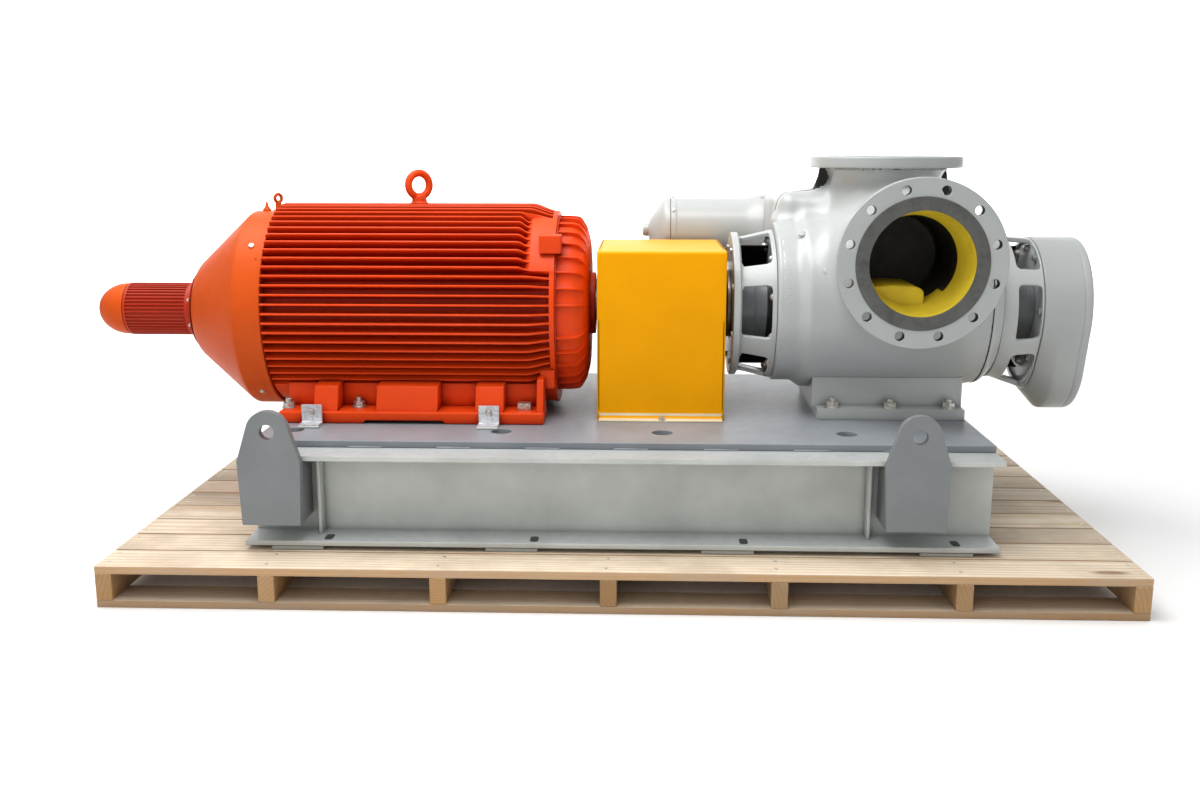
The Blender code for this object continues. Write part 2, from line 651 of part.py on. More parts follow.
def build_guard(finish):
    """The folded sheet box over the coupling, open below, with shaft slots in both ends."""
    outer = GUARD_HALF_WIDTH
    bottom = PLATE_TOP + GAP
    inner = outer - GUARD_SHEET
    guard = box("coupling_guard", (GUARD_LEFT, GUARD_RIGHT), (-outer, outer), (bottom, GUARD_TOP), finish["guard"])
    for side in (-1, 1):
        y = sorted((side * (outer - 0.001), side * (outer + GUARD_LIP)))
        lip = box("guard_lip_" + ("front" if side < 0 else "rear"), (GUARD_LEFT, GUARD_RIGHT), y,
                  (bottom, bottom + 0.004), collection=CUTTERS)
        join(guard, lip)
    inside = box("guard_inside", (GUARD_LEFT + GUARD_SHEET, GUARD_RIGHT - GUARD_SHEET), (-inner, inner),
                 (bottom - 0.050, GUARD_TOP - GUARD_SHEET), collection=CUTTERS)
    cut(guard, inside)
    half = GUARD_SLOT_HALF
    slot = [(half, bottom - 0.050), *arc((0.0, SHAFT_Z), half, 0.0, 180.0, 16), (-half, bottom - 0.050)]
    slots = outline_solid("guard_shaft_slots", slot, "X", (GUARD_LEFT - 0.020, GUARD_RIGHT + 0.020),
                          collection=CUTTERS)
    cut(guard, slots)


def cut_windows(target, name, centre_z, left, right, count, half_angle, reach):
    """Cut evenly spaced windows through a bracket's wall, with wedges that meet on the axis."""
    for index in range(count):
        middle = 360.0 * index / count
        wedge = [(0.0, centre_z)]
        wedge += arc((0.0, centre_z), reach, middle - half_angle, middle + half_angle, 4)
        cutter = outline_solid(f"{name}_window_{index}", wedge, "X", (left, right), collection=CUTTERS)
        cut(target, cutter)


def build_drive_end(finish):
    """Bearing cover, bearing housing, the open bracket round them and the casing's end cover."""
    bore = PUMP_SHAFT_RADIUS + SHAFT_CLEARANCE
    disc_right = BRACKET_LEFT + BRACKET_DISC_THICKNESS
    cover_right = BRACKET_LEFT - GAP
    turned("pump_bearing_cover", [
        (COVER_PLATE_LEFT, bore), (COVER_PLATE_LEFT, BEARING_COVER_RADIUS - 0.004),
        (COVER_PLATE_LEFT + 0.004, BEARING_COVER_RADIUS), (cover_right, BEARING_COVER_RADIUS), (cover_right, bore)],
        SHAFT_CENTRE, finish["steel"], closed=True)
    bore_end = BRACKET_LEFT + 0.060
    turned("pump_bearing_housing", [
        (bore_end, 0.0), (bore_end, bore), (BRACKET_LEFT, bore), (BRACKET_LEFT, BEARING_HOUSING_RADIUS),
        (END_COVER_LEFT - GAP, BEARING_HOUSING_RADIUS), (END_COVER_LEFT - GAP, 0.0)],
        SHAFT_CENTRE, finish["pump"])

    small, large = BRACKET_CAGE_RADII
    wall = BRACKET_WALL
    hole = BEARING_HOUSING_RADIUS + GAP
    right = END_COVER_LEFT - GAP
    bracket = turned("drive_end_bracket", [
        (BRACKET_LEFT, hole), (BRACKET_LEFT, BRACKET_RADIUS - 0.004), (BRACKET_LEFT + 0.004, BRACKET_RADIUS),
        (disc_right, BRACKET_RADIUS), (disc_right, small), (right, large), (right, large - wall),
        (disc_right, small - wall), (disc_right, hole)],
        SHAFT_CENTRE, finish["pump"], closed=True)
    cut_windows(bracket, "drive_bracket", SHAFT_Z, disc_right + 0.004, right - 0.012, BRACKET_WINDOWS, 21.0, 0.300)

    turned("drive_end_cover", [
        (END_COVER_LEFT, 0.0), (END_COVER_LEFT, END_COVER_RADIUS - 0.007),
        (END_COVER_LEFT + 0.003, END_COVER_RADIUS - 0.002), (END_COVER_LEFT + 0.008, END_COVER_RADIUS),
        (CASING_LEFT - GAP, END_COVER_RADIUS), (CASING_LEFT - GAP, 0.0)],
        CASING_CENTRE, finish["pump"])


def casing_profile(grow):
    """The casing's outer side from its left end to its right, as (x, radius) points."""
    full = CASING_RADIUS + grow
    left = END_COVER_RADIUS + grow
    right = CASING_RADIUS - 0.012 + grow
    return [(CASING_LEFT, 0.0), (CASING_LEFT, left), (CASING_LEFT + 0.020, left), (CASING_LEFT + 0.036, left + 0.005),
            (CASING_LEFT + 0.052, full), (CASING_RIGHT - 0.070, full), (CASING_RIGHT - 0.030, full - 0.004),
            (CASING_RIGHT, right), (CASING_RIGHT, 0.0)]


def build_casing(finish):
    """The pump casing with its suction and discharge necks, flanges and bores."""
    casing = turned("pump_casing", casing_profile(0.0), CASING_CENTRE, finish["pump"])

    neck_front = SUCTION_FACE_Y + FLANGE_THICKNESS
    neck_back = -0.060
    neck_length = neck_back - neck_front + OVERLAP
    small, large = SUCTION_NECK_RADII
    neck = cylinder("suction_neck", "Y", (SUCTION_X, (neck_front - OVERLAP + neck_back) / 2, SUCTION_Z - 0.012),
                    small, neck_length, collection=CUTTERS, sides=ROUND, end_radius=large)
    join(casing, neck)
    face = SUCTION_FACE_Y + RAISED_FACE
    centre = (SUCTION_X, SUCTION_Z)
    flange = outline_solid("suction_flange", flip(circle(centre, FLANGE_OUTER_RADIUS, ROUND)), "Y",
                           (face, neck_front), collection=CUTTERS)
    join(casing, flange)
    raised = cylinder("suction_raised_face", "Y", (SUCTION_X, SUCTION_FACE_Y + 0.006, SUCTION_Z), RAISED_FACE_RADIUS,
                      0.012, collection=CUTTERS, sides=ROUND)
    join(casing, raised)

    chamber_left, chamber_right = CHAMBER_SPAN
    small_end = circle((RELIEF_Y, RELIEF_Z), RELIEF_FLANGE_RADIUS, ROUND)
    large_end = circle((CHAMBER_Y, CHAMBER_Z), CHAMBER_RADIUS, ROUND)
    passage_left = CASING_LEFT + 0.045
    passage = loft("relief_passage", ((passage_left, small_end), (chamber_left, large_end)), collection=CUTTERS)
    join(casing, passage)
    inlet = cylinder("relief_inlet", "X", ((RELIEF_BODY_RIGHT + passage_left + 0.006) / 2, RELIEF_Y, RELIEF_Z),
                     RELIEF_FLANGE_RADIUS - 0.001, passage_left + 0.006 - RELIEF_BODY_RIGHT, collection=CUTTERS,
                     sides=ROUND + 4)
    join(casing, inlet)
    chamber = turned("relief_chamber", [
        (chamber_left - 0.012, 0.0), (chamber_left - 0.012, CHAMBER_RADIUS - 0.020), (chamber_left + 0.004, CHAMBER_RADIUS + 0.001),
        (chamber_right - 0.030, CHAMBER_RADIUS + 0.001), (chamber_right, CHAMBER_RADIUS - 0.030), (chamber_right, 0.0)],
        (0.0, CHAMBER_Y, CHAMBER_Z), collection=CUTTERS, sides=ROUND + 4)
    join(casing, chamber)
    neck_top = DISCHARGE_TOP - DISCHARGE_THICKNESS
    riser = cylinder("discharge_neck", "Z", (DISCHARGE_X, 0.0, (CASING_Z + neck_top + OVERLAP) / 2),
                     DISCHARGE_NECK_RADIUS, neck_top + OVERLAP - CASING_Z, collection=CUTTERS, sides=ROUND)
    join(casing, riser)
    top_flange = outline_solid("discharge_flange", circle((DISCHARGE_X, 0.0), DISCHARGE_RADIUS, ROUND), "Z",
                               (neck_top, DISCHARGE_TOP), collection=CUTTERS)
    join(casing, top_flange)
    rib_edge = [(DISCHARGE_X - DISCHARGE_RADIUS + 0.020, neck_top + OVERLAP),
                (DISCHARGE_X + DISCHARGE_RADIUS - 0.020, neck_top + OVERLAP),
                (DISCHARGE_X + DISCHARGE_RADIUS - 0.005, CASING_Z + 0.180),
                (DISCHARGE_X - DISCHARGE_RADIUS - 0.010, CASING_Z + 0.180)]
    rib = outline_solid("discharge_rib", flip(rib_edge), "Y", (0.020, 0.036), collection=CUTTERS)
    join(casing, rib)

    bore_start = SUCTION_FACE_Y - 0.010
    bore = turned("suction_bore", [
        (bore_start, 0.0), (bore_start, BORE_RADIUS), (SUCTION_FACE_Y + 0.060, BORE_RADIUS),
        (BORE_TAPER_Y + 0.050, BORE_INNER_RADIUS), (0.060, BORE_INNER_RADIUS), (0.060, 0.0)],
        (SUCTION_X, 0.0, SUCTION_Z), collection=CUTTERS, axis="Y")
    cut(casing, bore)
    outlet = cylinder("discharge_bore", "Z", (DISCHARGE_X, 0.0, (SUCTION_Z + DISCHARGE_TOP + 0.010) / 2),
                      DISCHARGE_BORE_RADIUS, DISCHARGE_TOP + 0.010 - SUCTION_Z, collection=CUTTERS, sides=ROUND)
    cut(casing, outlet)
    drill(casing, "suction_bolt_holes", "Y", flip(bolt_circle(centre, FLANGE_BOLT_CIRCLE_RADIUS, FLANGE_BOLTS)),
          FLANGE_BOLT_RADIUS, (SUCTION_FACE_Y - 0.010, neck_front + 0.004), 12)
    drill(casing, "discharge_bolt_holes", "Z",
          bolt_circle((DISCHARGE_X, 0.0), DISCHARGE_BOLT_CIRCLE_RADIUS, FLANGE_BOLTS), DISCHARGE_BOLT_RADIUS,
          (neck_top - 0.004, DISCHARGE_TOP + 0.010), 12)
    return casing


def build_pedestal(finish):
    """The foot under the casing, shaped to it with a small gap."""
    bottom = PLATE_TOP + GAP
    foot_top = bottom + PEDESTAL_FOOT_THICKNESS
    foot = box("pump_pedestal", (PEDESTAL_LEFT, PEDESTAL_RIGHT), (-PEDESTAL_FOOT_HALF_WIDTH, PEDESTAL_FOOT_HALF_WIDTH),
               (bottom, foot_top), finish["pump"])
    block = box("pedestal_block", PEDESTAL_BLOCK_X,
                (-PEDESTAL_HALF_WIDTH, PEDESTAL_HALF_WIDTH), (foot_top - OVERLAP, CASING_Z - 0.130),
                collection=CUTTERS)
    join(foot, block)
    clearance = turned("pedestal_clearance", casing_profile(GAP), CASING_CENTRE, collection=CUTTERS)
    cut(foot, clearance)
    return foot


def build_relief_valve(finish):
    """The spring barrel of the relief valve and its tapered cap."""
    right = RELIEF_BODY_RIGHT - GAP
    turned("relief_valve_body", [
        (RELIEF_BODY_LEFT, 0.0), (RELIEF_BODY_LEFT, RELIEF_RADIUS), (right - 0.022, RELIEF_RADIUS),
        (right - 0.022, RELIEF_FLANGE_RADIUS), (right, RELIEF_FLANGE_RADIUS), (right, 0.0)],
        (0.0, RELIEF_Y, RELIEF_Z), finish["pump"])
    left = RELIEF_CAP_LEFT
    cap_right = RELIEF_BODY_LEFT - GAP
    turned("relief_valve_cap", [
        (left, 0.0), (left, 0.018), (left + 0.020, 0.020), (left + 0.022, 0.034), (cap_right - 0.022, RELIEF_RADIUS - 0.002),
        (cap_right, RELIEF_RADIUS - 0.002), (cap_right, 0.0)],
        (0.0, RELIEF_Y, RELIEF_Z), finish["pump"])


def case_outline(lower_z, grow=0.0, steps=20):
    """The gear case seen along the shaft: a large circle over a smaller one, joined by tangents."""
    upper = GEAR_RADIUS + grow
    lower = GEAR_LOWER_RADIUS + grow
    lean = math.degrees(math.asin((upper - lower) / (SHAFT_Z - lower_z)))
    points = arc((0.0, SHAFT_Z), upper, -lean, 180.0 + lean, steps)
    points += arc((0.0, lower_z), lower, 180.0 + lean, 360.0 - lean, steps)
    return points


def round_like(points, centre_z, radius):
    """A circle with as many points as the outline given, at the same angles."""
    result = []
    for y, z in points:
        angle = math.atan2(z - centre_z, y)
        result.append((radius * math.cos(angle), centre_z + radius * math.sin(angle)))
    return result


def build_gear_end(finish):
    """End cover, open bracket, bearing housing, timing gear case and its cover."""
    left = CASING_RIGHT + GAP
    turned("gear_end_cover", [
        (left, 0.0), (left, CASING_RADIUS - 0.012), (left + 0.010, CASING_RADIUS - 0.014),
        (GEAR_COVER_RIGHT - 0.006, GEAR_COVER_RADIUS), (GEAR_COVER_RIGHT, GEAR_COVER_RADIUS - 0.008),
        (GEAR_COVER_RIGHT, 0.0)],
        CASING_CENTRE, finish["pump"])

    bracket_left = GEAR_COVER_RIGHT + GAP
    flange_right = GEAR_COVER_RIGHT + GEAR_BRACKET_FLANGE
    right = case_outline(GEAR_NARROW_Z, -0.004)
    hollow_right = case_outline(GEAR_NARROW_Z, -0.004 - GEAR_BRACKET_WALL)
    centre = SHAFT_Z - 0.004
    bracket = loft("gear_end_bracket", (
        (bracket_left, round_like(right, centre, GEAR_BRACKET_RADIUS)),
        (bracket_left + 0.020, round_like(right, centre, GEAR_BRACKET_RADIUS)),
        (GEAR_BRACKET_RIGHT, right)), finish["pump"])
    lead = 0.010
    radius = GEAR_BRACKET_RADIUS - GEAR_BRACKET_WALL - 0.002
    hollow = loft("gear_bracket_hollow", (
        (bracket_left - lead, round_like(hollow_right, centre, radius)),
        (bracket_left + 0.021, round_like(hollow_right, centre, radius)),
        (GEAR_BRACKET_RIGHT + lead, hollow_right)), collection=CUTTERS)
    cut(bracket, hollow)
    cut_windows(bracket, "gear_bracket", SHAFT_Z, flange_right, GEAR_BRACKET_RIGHT - 0.006, BRACKET_WINDOWS, 23.0, 0.320)
    cylinder("gear_end_bearing_housing", "X", ((bracket_left + GEAR_BRACKET_RIGHT) / 2, 0.0, SHAFT_Z), 0.100,
             GEAR_BRACKET_RIGHT - bracket_left, finish["pump"], sides=ROUND)

    loft("gear_case", (
        (GEAR_BRACKET_RIGHT + GAP, case_outline(GEAR_NARROW_Z)), (GEAR_CASE_FULL, case_outline(GEAR_LOWER_Z)),
        (GEAR_CASE_RIGHT, case_outline(GEAR_LOWER_Z))), finish["pump"])
    outline_solid("gear_case_cover", case_outline(GEAR_LOWER_Z, -0.005), "X",
                  (GEAR_CASE_RIGHT + GAP, GEAR_COVER_PLATE_RIGHT), finish["pump"])


def main():
    clear_scene()
    finish = make_materials()
    build_pallet(finish)
    build_base(finish)
    build_lugs(finish)
    build_motor(finish)
    build_ventilation(finish)
    build_brackets(finish)
    build_shaft_line(finish)
    build_guard(finish)
    build_drive_end(finish)
    build_casing(finish)
    build_pedestal(finish)
    build_relief_valve(finish)
    build_gear_end(finish)


main()
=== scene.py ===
"""The looks of a gear pump unit: motor, guarded coupling and flanged pump on a steel base and a pallet.

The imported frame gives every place. Each new piece is a surface computed with numpy on a grid of
two parameters, in metres, with +X along the shaft from motor to pump, +Y to the rear and +Z up.
"""

import math
from math import cos, pi, radians, sin, tau

import bmesh
import bpy
import numpy as np
from bpy.props import FloatProperty, FloatVectorProperty, IntProperty, PointerProperty
from bpy.types import Operator, Panel, PropertyGroup
from mathutils import Matrix, Vector


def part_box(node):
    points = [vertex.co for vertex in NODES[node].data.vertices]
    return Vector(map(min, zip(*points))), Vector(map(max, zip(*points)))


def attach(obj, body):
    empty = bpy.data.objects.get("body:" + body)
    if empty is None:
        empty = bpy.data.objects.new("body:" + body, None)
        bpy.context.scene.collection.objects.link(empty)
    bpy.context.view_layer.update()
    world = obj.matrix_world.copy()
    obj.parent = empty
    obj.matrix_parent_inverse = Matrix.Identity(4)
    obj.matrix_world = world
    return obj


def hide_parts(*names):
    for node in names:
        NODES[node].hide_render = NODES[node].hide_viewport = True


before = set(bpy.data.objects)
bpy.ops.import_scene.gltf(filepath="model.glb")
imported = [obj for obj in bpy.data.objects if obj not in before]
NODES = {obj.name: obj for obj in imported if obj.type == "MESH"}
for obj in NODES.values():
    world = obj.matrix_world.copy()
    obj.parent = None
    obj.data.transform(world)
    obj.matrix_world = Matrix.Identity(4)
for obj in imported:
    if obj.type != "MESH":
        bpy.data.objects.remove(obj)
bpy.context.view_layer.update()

bl_info = {
    "name": "Gear Pump Unit",
    "version": (1, 0, 0),
    "blender": (4, 5, 0),
    "location": "3D View > Sidebar > Pump Unit",
    "description": "Dresses the packed frame of a motor driven pump unit on its base and pallet",
    "category": "Object",
}

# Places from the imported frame, and places and counts fitted to the photograph
SHAFT_Z = sum(corner.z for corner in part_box("pump_shaft")) / 2
PLATE_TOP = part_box("top_plate")[1].z
FRAME_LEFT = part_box("motor_frame")[0].x
CASING_LOW, CASING_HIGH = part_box("pump_casing")
CASING_Z = 0.64
SUCTION = np.array((0.834, CASING_LOW.y, 0.775))
DISCHARGE = np.array((0.814, 0, CASING_HIGH.z))
RELIEF_Y, RELIEF_Z = 0.315, 0.808
RIB_X, RIB_Y = 0.812, 0.028
SHAFT = (0, 0, SHAFT_Z)
BARREL = (0, 0, CASING_Z)
ORIGIN = (0, 0, 0)
LEFTWARD, RIGHTWARD, UPWARD = (-1.0, 0, 0), (1.0, 0, 0), (0, 0, 1.0)
FIN_COUNT = 68
WEB_FACE = 0.4485
BEARERS = (-1.066, -0.687, -0.29, 0.101, 0.49, 0.906, 1.303)


def linear(code):
    """An sRGB hex value as linear red, green, blue and full alpha."""
    parts = [int(code[place:place + 2], 16) / 255 for place in (1, 3, 5)]
    return (*[part / 12.92 if part <= 0.04045 else ((part + 0.055) / 1.055) ** 2.4 for part in parts], 1.0)


# Grids and meshes

def sheet(points, close_rows=False, close_columns=True):
    """A shell, which is points and faces, from an array of points by row, column and coordinate.

    A face takes the four corners of a cell; closing joins the last row or column to the first.
    """
    points = np.asarray(points, float)
    rows, columns = points.shape[:2]
    row = np.arange(rows if close_rows else rows - 1)[:, None]
    column = np.arange(columns if close_columns else columns - 1)[None, :]
    below, beside = (row + 1) % rows, (column + 1) % columns
    corners = (row * columns + column, row * columns + beside, below * columns + beside, below * columns
               + column)
    return points.reshape(-1, 3), np.stack(np.broadcast_arrays(*corners), axis=-1).reshape(-1, 4)


def together(*shells):
    """Several shells as one, their faces renumbered in order."""
    counts = np.cumsum([0] + [len(points) for points, _ in shells])
    return (np.concatenate([points for points, _ in shells]),
            np.concatenate([faces + start for (_, faces), start in zip(shells, counts)]))


def placed(along, across, up, axis, centre):
    """Points whose along runs on the axis named, turned to the row frame and moved to centre.

    On X the other two are Y and Z, on Y they are X and Z, and on Z they are X and Y.
    """
    along, across, up = np.broadcast_arrays(along, across, up)
    order = {"X": (along, across, up), "Y": (across, along, up), "Z": (across, up, along)}[axis]
    return np.stack(order, axis=-1) + np.asarray(centre, float)


def stacked(outlines, places, axis="X", centre=ORIGIN):
    """Flat outlines, each at its own place along an axis, as a grid of points."""
    return placed(np.asarray(places)[:, None], outlines[..., 0], outlines[..., 1], axis, centre)


def swept(along, radius, angle, centre=SHAFT, mirrored=False):
    """A closed shell about X: radius times cosine and sine of the angle, at each place along."""
    side = -radius if mirrored else radius
    return sheet(placed(along + 0 * angle, side * np.cos(angle), radius * np.sin(angle), "X", centre))


def turned(profile, centre=ORIGIN, axis="X", sides=96, close=False):
    """A profile of (place on the axis, radius) carried round the axis: radius times cosine and sine."""
    profile = np.asarray(profile, float)
    angle = np.linspace(0, tau, sides, endpoint=False)[None, :]
    along, radius = profile[:, 0][:, None], profile[:, 1][:, None]
    return sheet(placed(along + 0 * angle, radius * np.cos(angle), radius * np.sin(angle), axis, centre),
                 close)


def softened(corners, radius, steps=4, closed=False):
    """A line with each corner replaced by a parabola that leaves its sides at the radius given.

    A point of the parabola is the blend (1-t)^2 of the first side's point, 2t(1-t) of the corner and t^2
    of the second side's point. Radius is one number, or one for each corner.
    """
    corners = np.asarray(corners, float)
    radius = np.broadcast_to(np.asarray(radius, float), (len(corners),))[:, None]
    back, forth = np.roll(corners, 1, axis=0) - corners, np.roll(corners, -1, axis=0) - corners
    length_back = np.linalg.norm(back, axis=1, keepdims=True) + 1e-12
    length_forth = np.linalg.norm(forth, axis=1, keepdims=True) + 1e-12
    first = corners + back / length_back * np.minimum(radius, length_back * 0.49)
    last = corners + forth / length_forth * np.minimum(radius, length_forth * 0.49)
    t = np.linspace(0, 1, steps + 1)[None, :, None]
    curves = (1 - t) ** 2 * first[:, None] + 2 * t * (1 - t) * corners[:, None] + t ** 2 * last[:, None]
    if closed:
        return curves.reshape(-1, corners.shape[1])
    return np.concatenate((corners[:1], curves[1:-1].reshape(-1, corners.shape[1]), corners[-1:]))


def measured(span, corners):
    """Corners whose place is measured from the span's low end, or from its high end where it carries a minus
    sign, which minus nought does too."""
    return [(span[0 if math.copysign(1, place) > 0 else 1] + place, *rest) for place, *rest in corners]


def lathe(span, corners, soft, steps=4, centre=SHAFT, axis="X", sides=112, closed=False):
    """A softened profile, with its places measured along a span, turned about an axis."""
    return turned(softened(measured(span, corners), soft, steps, closed), centre, axis, sides, closed)


def inset(outline, depth):
    """A closed flat outline moved inwards, each corner along the mitre of its two sides."""
    side = np.roll(outline, -1, axis=0) - outline
    side /= np.linalg.norm(side, axis=1, keepdims=True) + 1e-12
    normal = np.stack((side[:, 1], -side[:, 0]), axis=1)
    last = np.roll(normal, 1, axis=0)
    mitre = (normal + last) / (1 + (normal * last).sum(1, keepdims=True)).clip(0.3)
    area = (outline[:, 0] * np.roll(outline[:, 1], -1) - np.roll(outline[:, 0], -1) * outline[:, 1]).sum()
    return outline - mitre * depth * (1 if area > 0 else -1)


def slab(outline, span, axis="X", round_by=0.0015, steps=3, centre=ORIGIN):
    """A flat outline carried along an axis; near both ends it draws in by a quarter circle, and it closes
    on its middle point."""
    outline = np.asarray(outline, float)
    angle = np.linspace(0, pi / 2, steps + 1)
    depth = round_by * (1 - np.sin(angle))
    start = span[0] + round_by * (1 - np.cos(angle))
    end = span[1] - round_by * (1 - np.cos(angle))
    middle = np.broadcast_to(outline.mean(0), outline.shape)
    rings = [middle, *[inset(outline, d) for d in depth], *[inset(outline, d) for d in depth[::-1]], middle]
    return sheet(stacked(np.array(rings), [span[0], *start, *end[::-1], span[1]], axis, centre))


def rectangle(across, up, radius=0.003, steps=3):
    """A rectangle between the pairs across and up with round corners, as a closed outline."""
    corners = [(across[0], up[0]), (across[1], up[0]), (across[1], up[1]), (across[0], up[1])]
    return softened(corners, radius, steps, closed=True)


def block(x, y, z, radius=0.003, round_by=0.002):
    """A box between pairs of values, carried along X, with its long arrises and its ends rounded."""
    return slab(rectangle(sorted(y), z, radius), x, "X", round_by)


def square_to(way):
    """Two unit vectors square to each direction and to each other."""
    helper = np.where(np.abs(way[:, 2:3]) < 0.9, [[0, 0, 1.0]], [[1.0, 0, 0]])
    across = np.cross(helper, way)
    across /= np.linalg.norm(across, axis=1, keepdims=True)
    return across, np.cross(way, across)


def spread(shell, places, directions=UPWARD, spins=0):
    """A shell made along +Z at the origin, copied to each place and turned to each direction.

    Each copy's point is the place plus its three coordinates times the copy's three unit axes.
    """
    points, faces = shell
    places = np.atleast_2d(np.asarray(places, float))
    along = np.broadcast_to(np.asarray(directions, float), places.shape)
    along = along / np.linalg.norm(along, axis=1, keepdims=True)
    across, up = square_to(along)
    spin = np.broadcast_to(np.asarray(spins, float), (len(places),))[:, None]
    side = across * np.cos(spin) + up * np.sin(spin)
    top = -across * np.sin(spin) + up * np.cos(spin)
    moved = (places[:, None] + points[None, :, :1] * side[:, None] + points[None, :, 1:2] * top[:, None]
             + points[None, :, 2:] * along[:, None])
    shift = (np.arange(len(places)) * len(points))[:, None, None]
    return moved.reshape(-1, 3), (faces[None] + shift).reshape(-1, 4)


def ring_places(centre, radius, count, axis="X", start=0):
    """Places evenly round an axis, with the outward unit directions; start is an angle in degrees."""
    angle = radians(start) + tau * np.arange(count) / count
    across, up = np.cos(angle), np.sin(angle)
    flat = np.zeros(count)
    return placed(flat, radius * across, radius * up, axis, centre), placed(flat, across, up, axis, ORIGIN)


def ring_of(shell, x, centre, radius, count, start=0, way=LEFTWARD, spin=0):
    """Copies of a shell on a circle about X, the next one turned by spin more."""
    places, _ = ring_places((x, *centre[1:]), radius, count, start=start)
    return spread(shell, places, way, np.arange(count) * spin)


def hexagon(size, height):
    """A hexagon head along +Z: six flats the size apart, then a cone down to a round face.

    A flat's radius is half the size over the cosine of the angle from the flat's middle.
    """
    angle = np.linspace(0, tau, 24, endpoint=False)
    flat = size / 2 / np.cos((angle % (pi / 3)) - pi / 6)
    limit = np.array([1.12, 1.12, 1.08, 0.92, 0])[:, None] * size / 2
    radius = np.minimum(flat[None], limit)
    radius = np.concatenate((0 * radius[:1], radius))
    height_at = np.array([0, 0, height * 0.86, height * 0.93, height, height])[:, None]
    return sheet(placed(height_at, radius * np.cos(angle), radius * np.sin(angle), "Z", ORIGIN))


def disc(radius, height, sink=0, sides=24, round_by=None):
    """A flat round piece along +Z, such as a washer or a screw head, with a softened upper edge."""
    soft = min(radius, height) * 0.3 if round_by is None else round_by
    profile = softened([(-sink, 0), (-sink, radius), (height, radius), (height, 0)], [0, 0, soft, 0], 3)
    return turned(profile, axis="Z", sides=sides)


def bolt(size, washer=True, stud=0):
    """A hexagon head or nut on its washer, along +Z from the face it sits on, with the stud's end above."""
    base = size * 0.14 if washer else 0
    points, faces = hexagon(size, size * 0.42)
    pieces = [disc(size * 0.66, base, sink=size * 0.05)] if washer else []
    pieces.append((points + np.array((0, 0, base)), faces))
    if stud:
        points, faces = disc(size * 0.3, stud, sides=18, round_by=size * 0.06)
        pieces.append((points + np.array((0, 0, base + size * 0.36)), faces))
    return together(*pieces)


def domed_nut(size):
    """A hexagon under a round cap, along +Z; the cap is a half circle turned about the axis."""
    angle = np.linspace(0, pi / 2, 7)
    cap = np.stack((size * 0.38 + size * 0.42 * np.sin(angle), size * 0.44 * np.cos(angle)), axis=1)
    cap = np.concatenate(([(0, 0), (0, size * 0.44)], cap))
    cap[-1, 1] = 0
    return together(hexagon(size, size * 0.45), turned(cap, axis="Z", sides=20))


def run_along(path):
    """The length walked at each point of a path."""
    return np.concatenate(([0], np.cumsum(np.linalg.norm(np.diff(path, axis=0), axis=1))))


def tube(path, radius, sides=12, ripple=0, pitch=0.006):
    """A round rope along a path: path point plus radius times cosine and sine on two unit vectors across it.

    With ripple the radius swells and shrinks by that share each pitch, as a weld bead does, and it closes
    to a point at both ends.
    """
    way = np.gradient(path, axis=0)
    way /= np.linalg.norm(way, axis=1, keepdims=True) + 1e-12
    across, up = square_to(way)
    run = run_along(path)
    swell = radius * (1 + ripple * (1 - np.abs((run / pitch) % 1 * 2 - 1))
                      + ripple * 0.6 * np.sin(run * 61.0))
    swell[[0, -1]] *= 0.55
    swell = np.concatenate(([0], swell, [0]))[:, None, None]
    take = np.concatenate(([0], np.arange(len(path)), [len(path) - 1]))
    angle = np.linspace(0, tau, sides, endpoint=False)[None, :, None]
    offset = across[take][:, None] * np.cos(angle) + up[take][:, None] * np.sin(angle)
    return sheet(path[take][:, None] + offset * swell)


def bead(start, length, radius, ripple=0.35):
    """A weld bead along X from its start, with a point each 1.5 mm."""
    share = np.linspace(0, 1, max(3, int(length / 0.0015)))[:, None]
    return tube(np.array(start) + share * (length, 0, 0), radius, ripple=ripple)


def curved_wall(span, inner, outer, sweep, sides=40):
    """Part of a tube about the shaft: a rectangle of place and radius swept between two angles."""
    angle = np.radians(np.linspace(*sweep, sides))
    section = np.array(((span[0], inner), (span[0], outer), (span[1], outer), (span[1], inner)))
    middle = np.broadcast_to(section.mean(0), section.shape)
    rings = np.array([middle] + [section] * sides + [middle])
    return swept(rings[..., 0], rings[..., 1], np.concatenate((angle[:1], angle, angle[-1:]))[:, None])


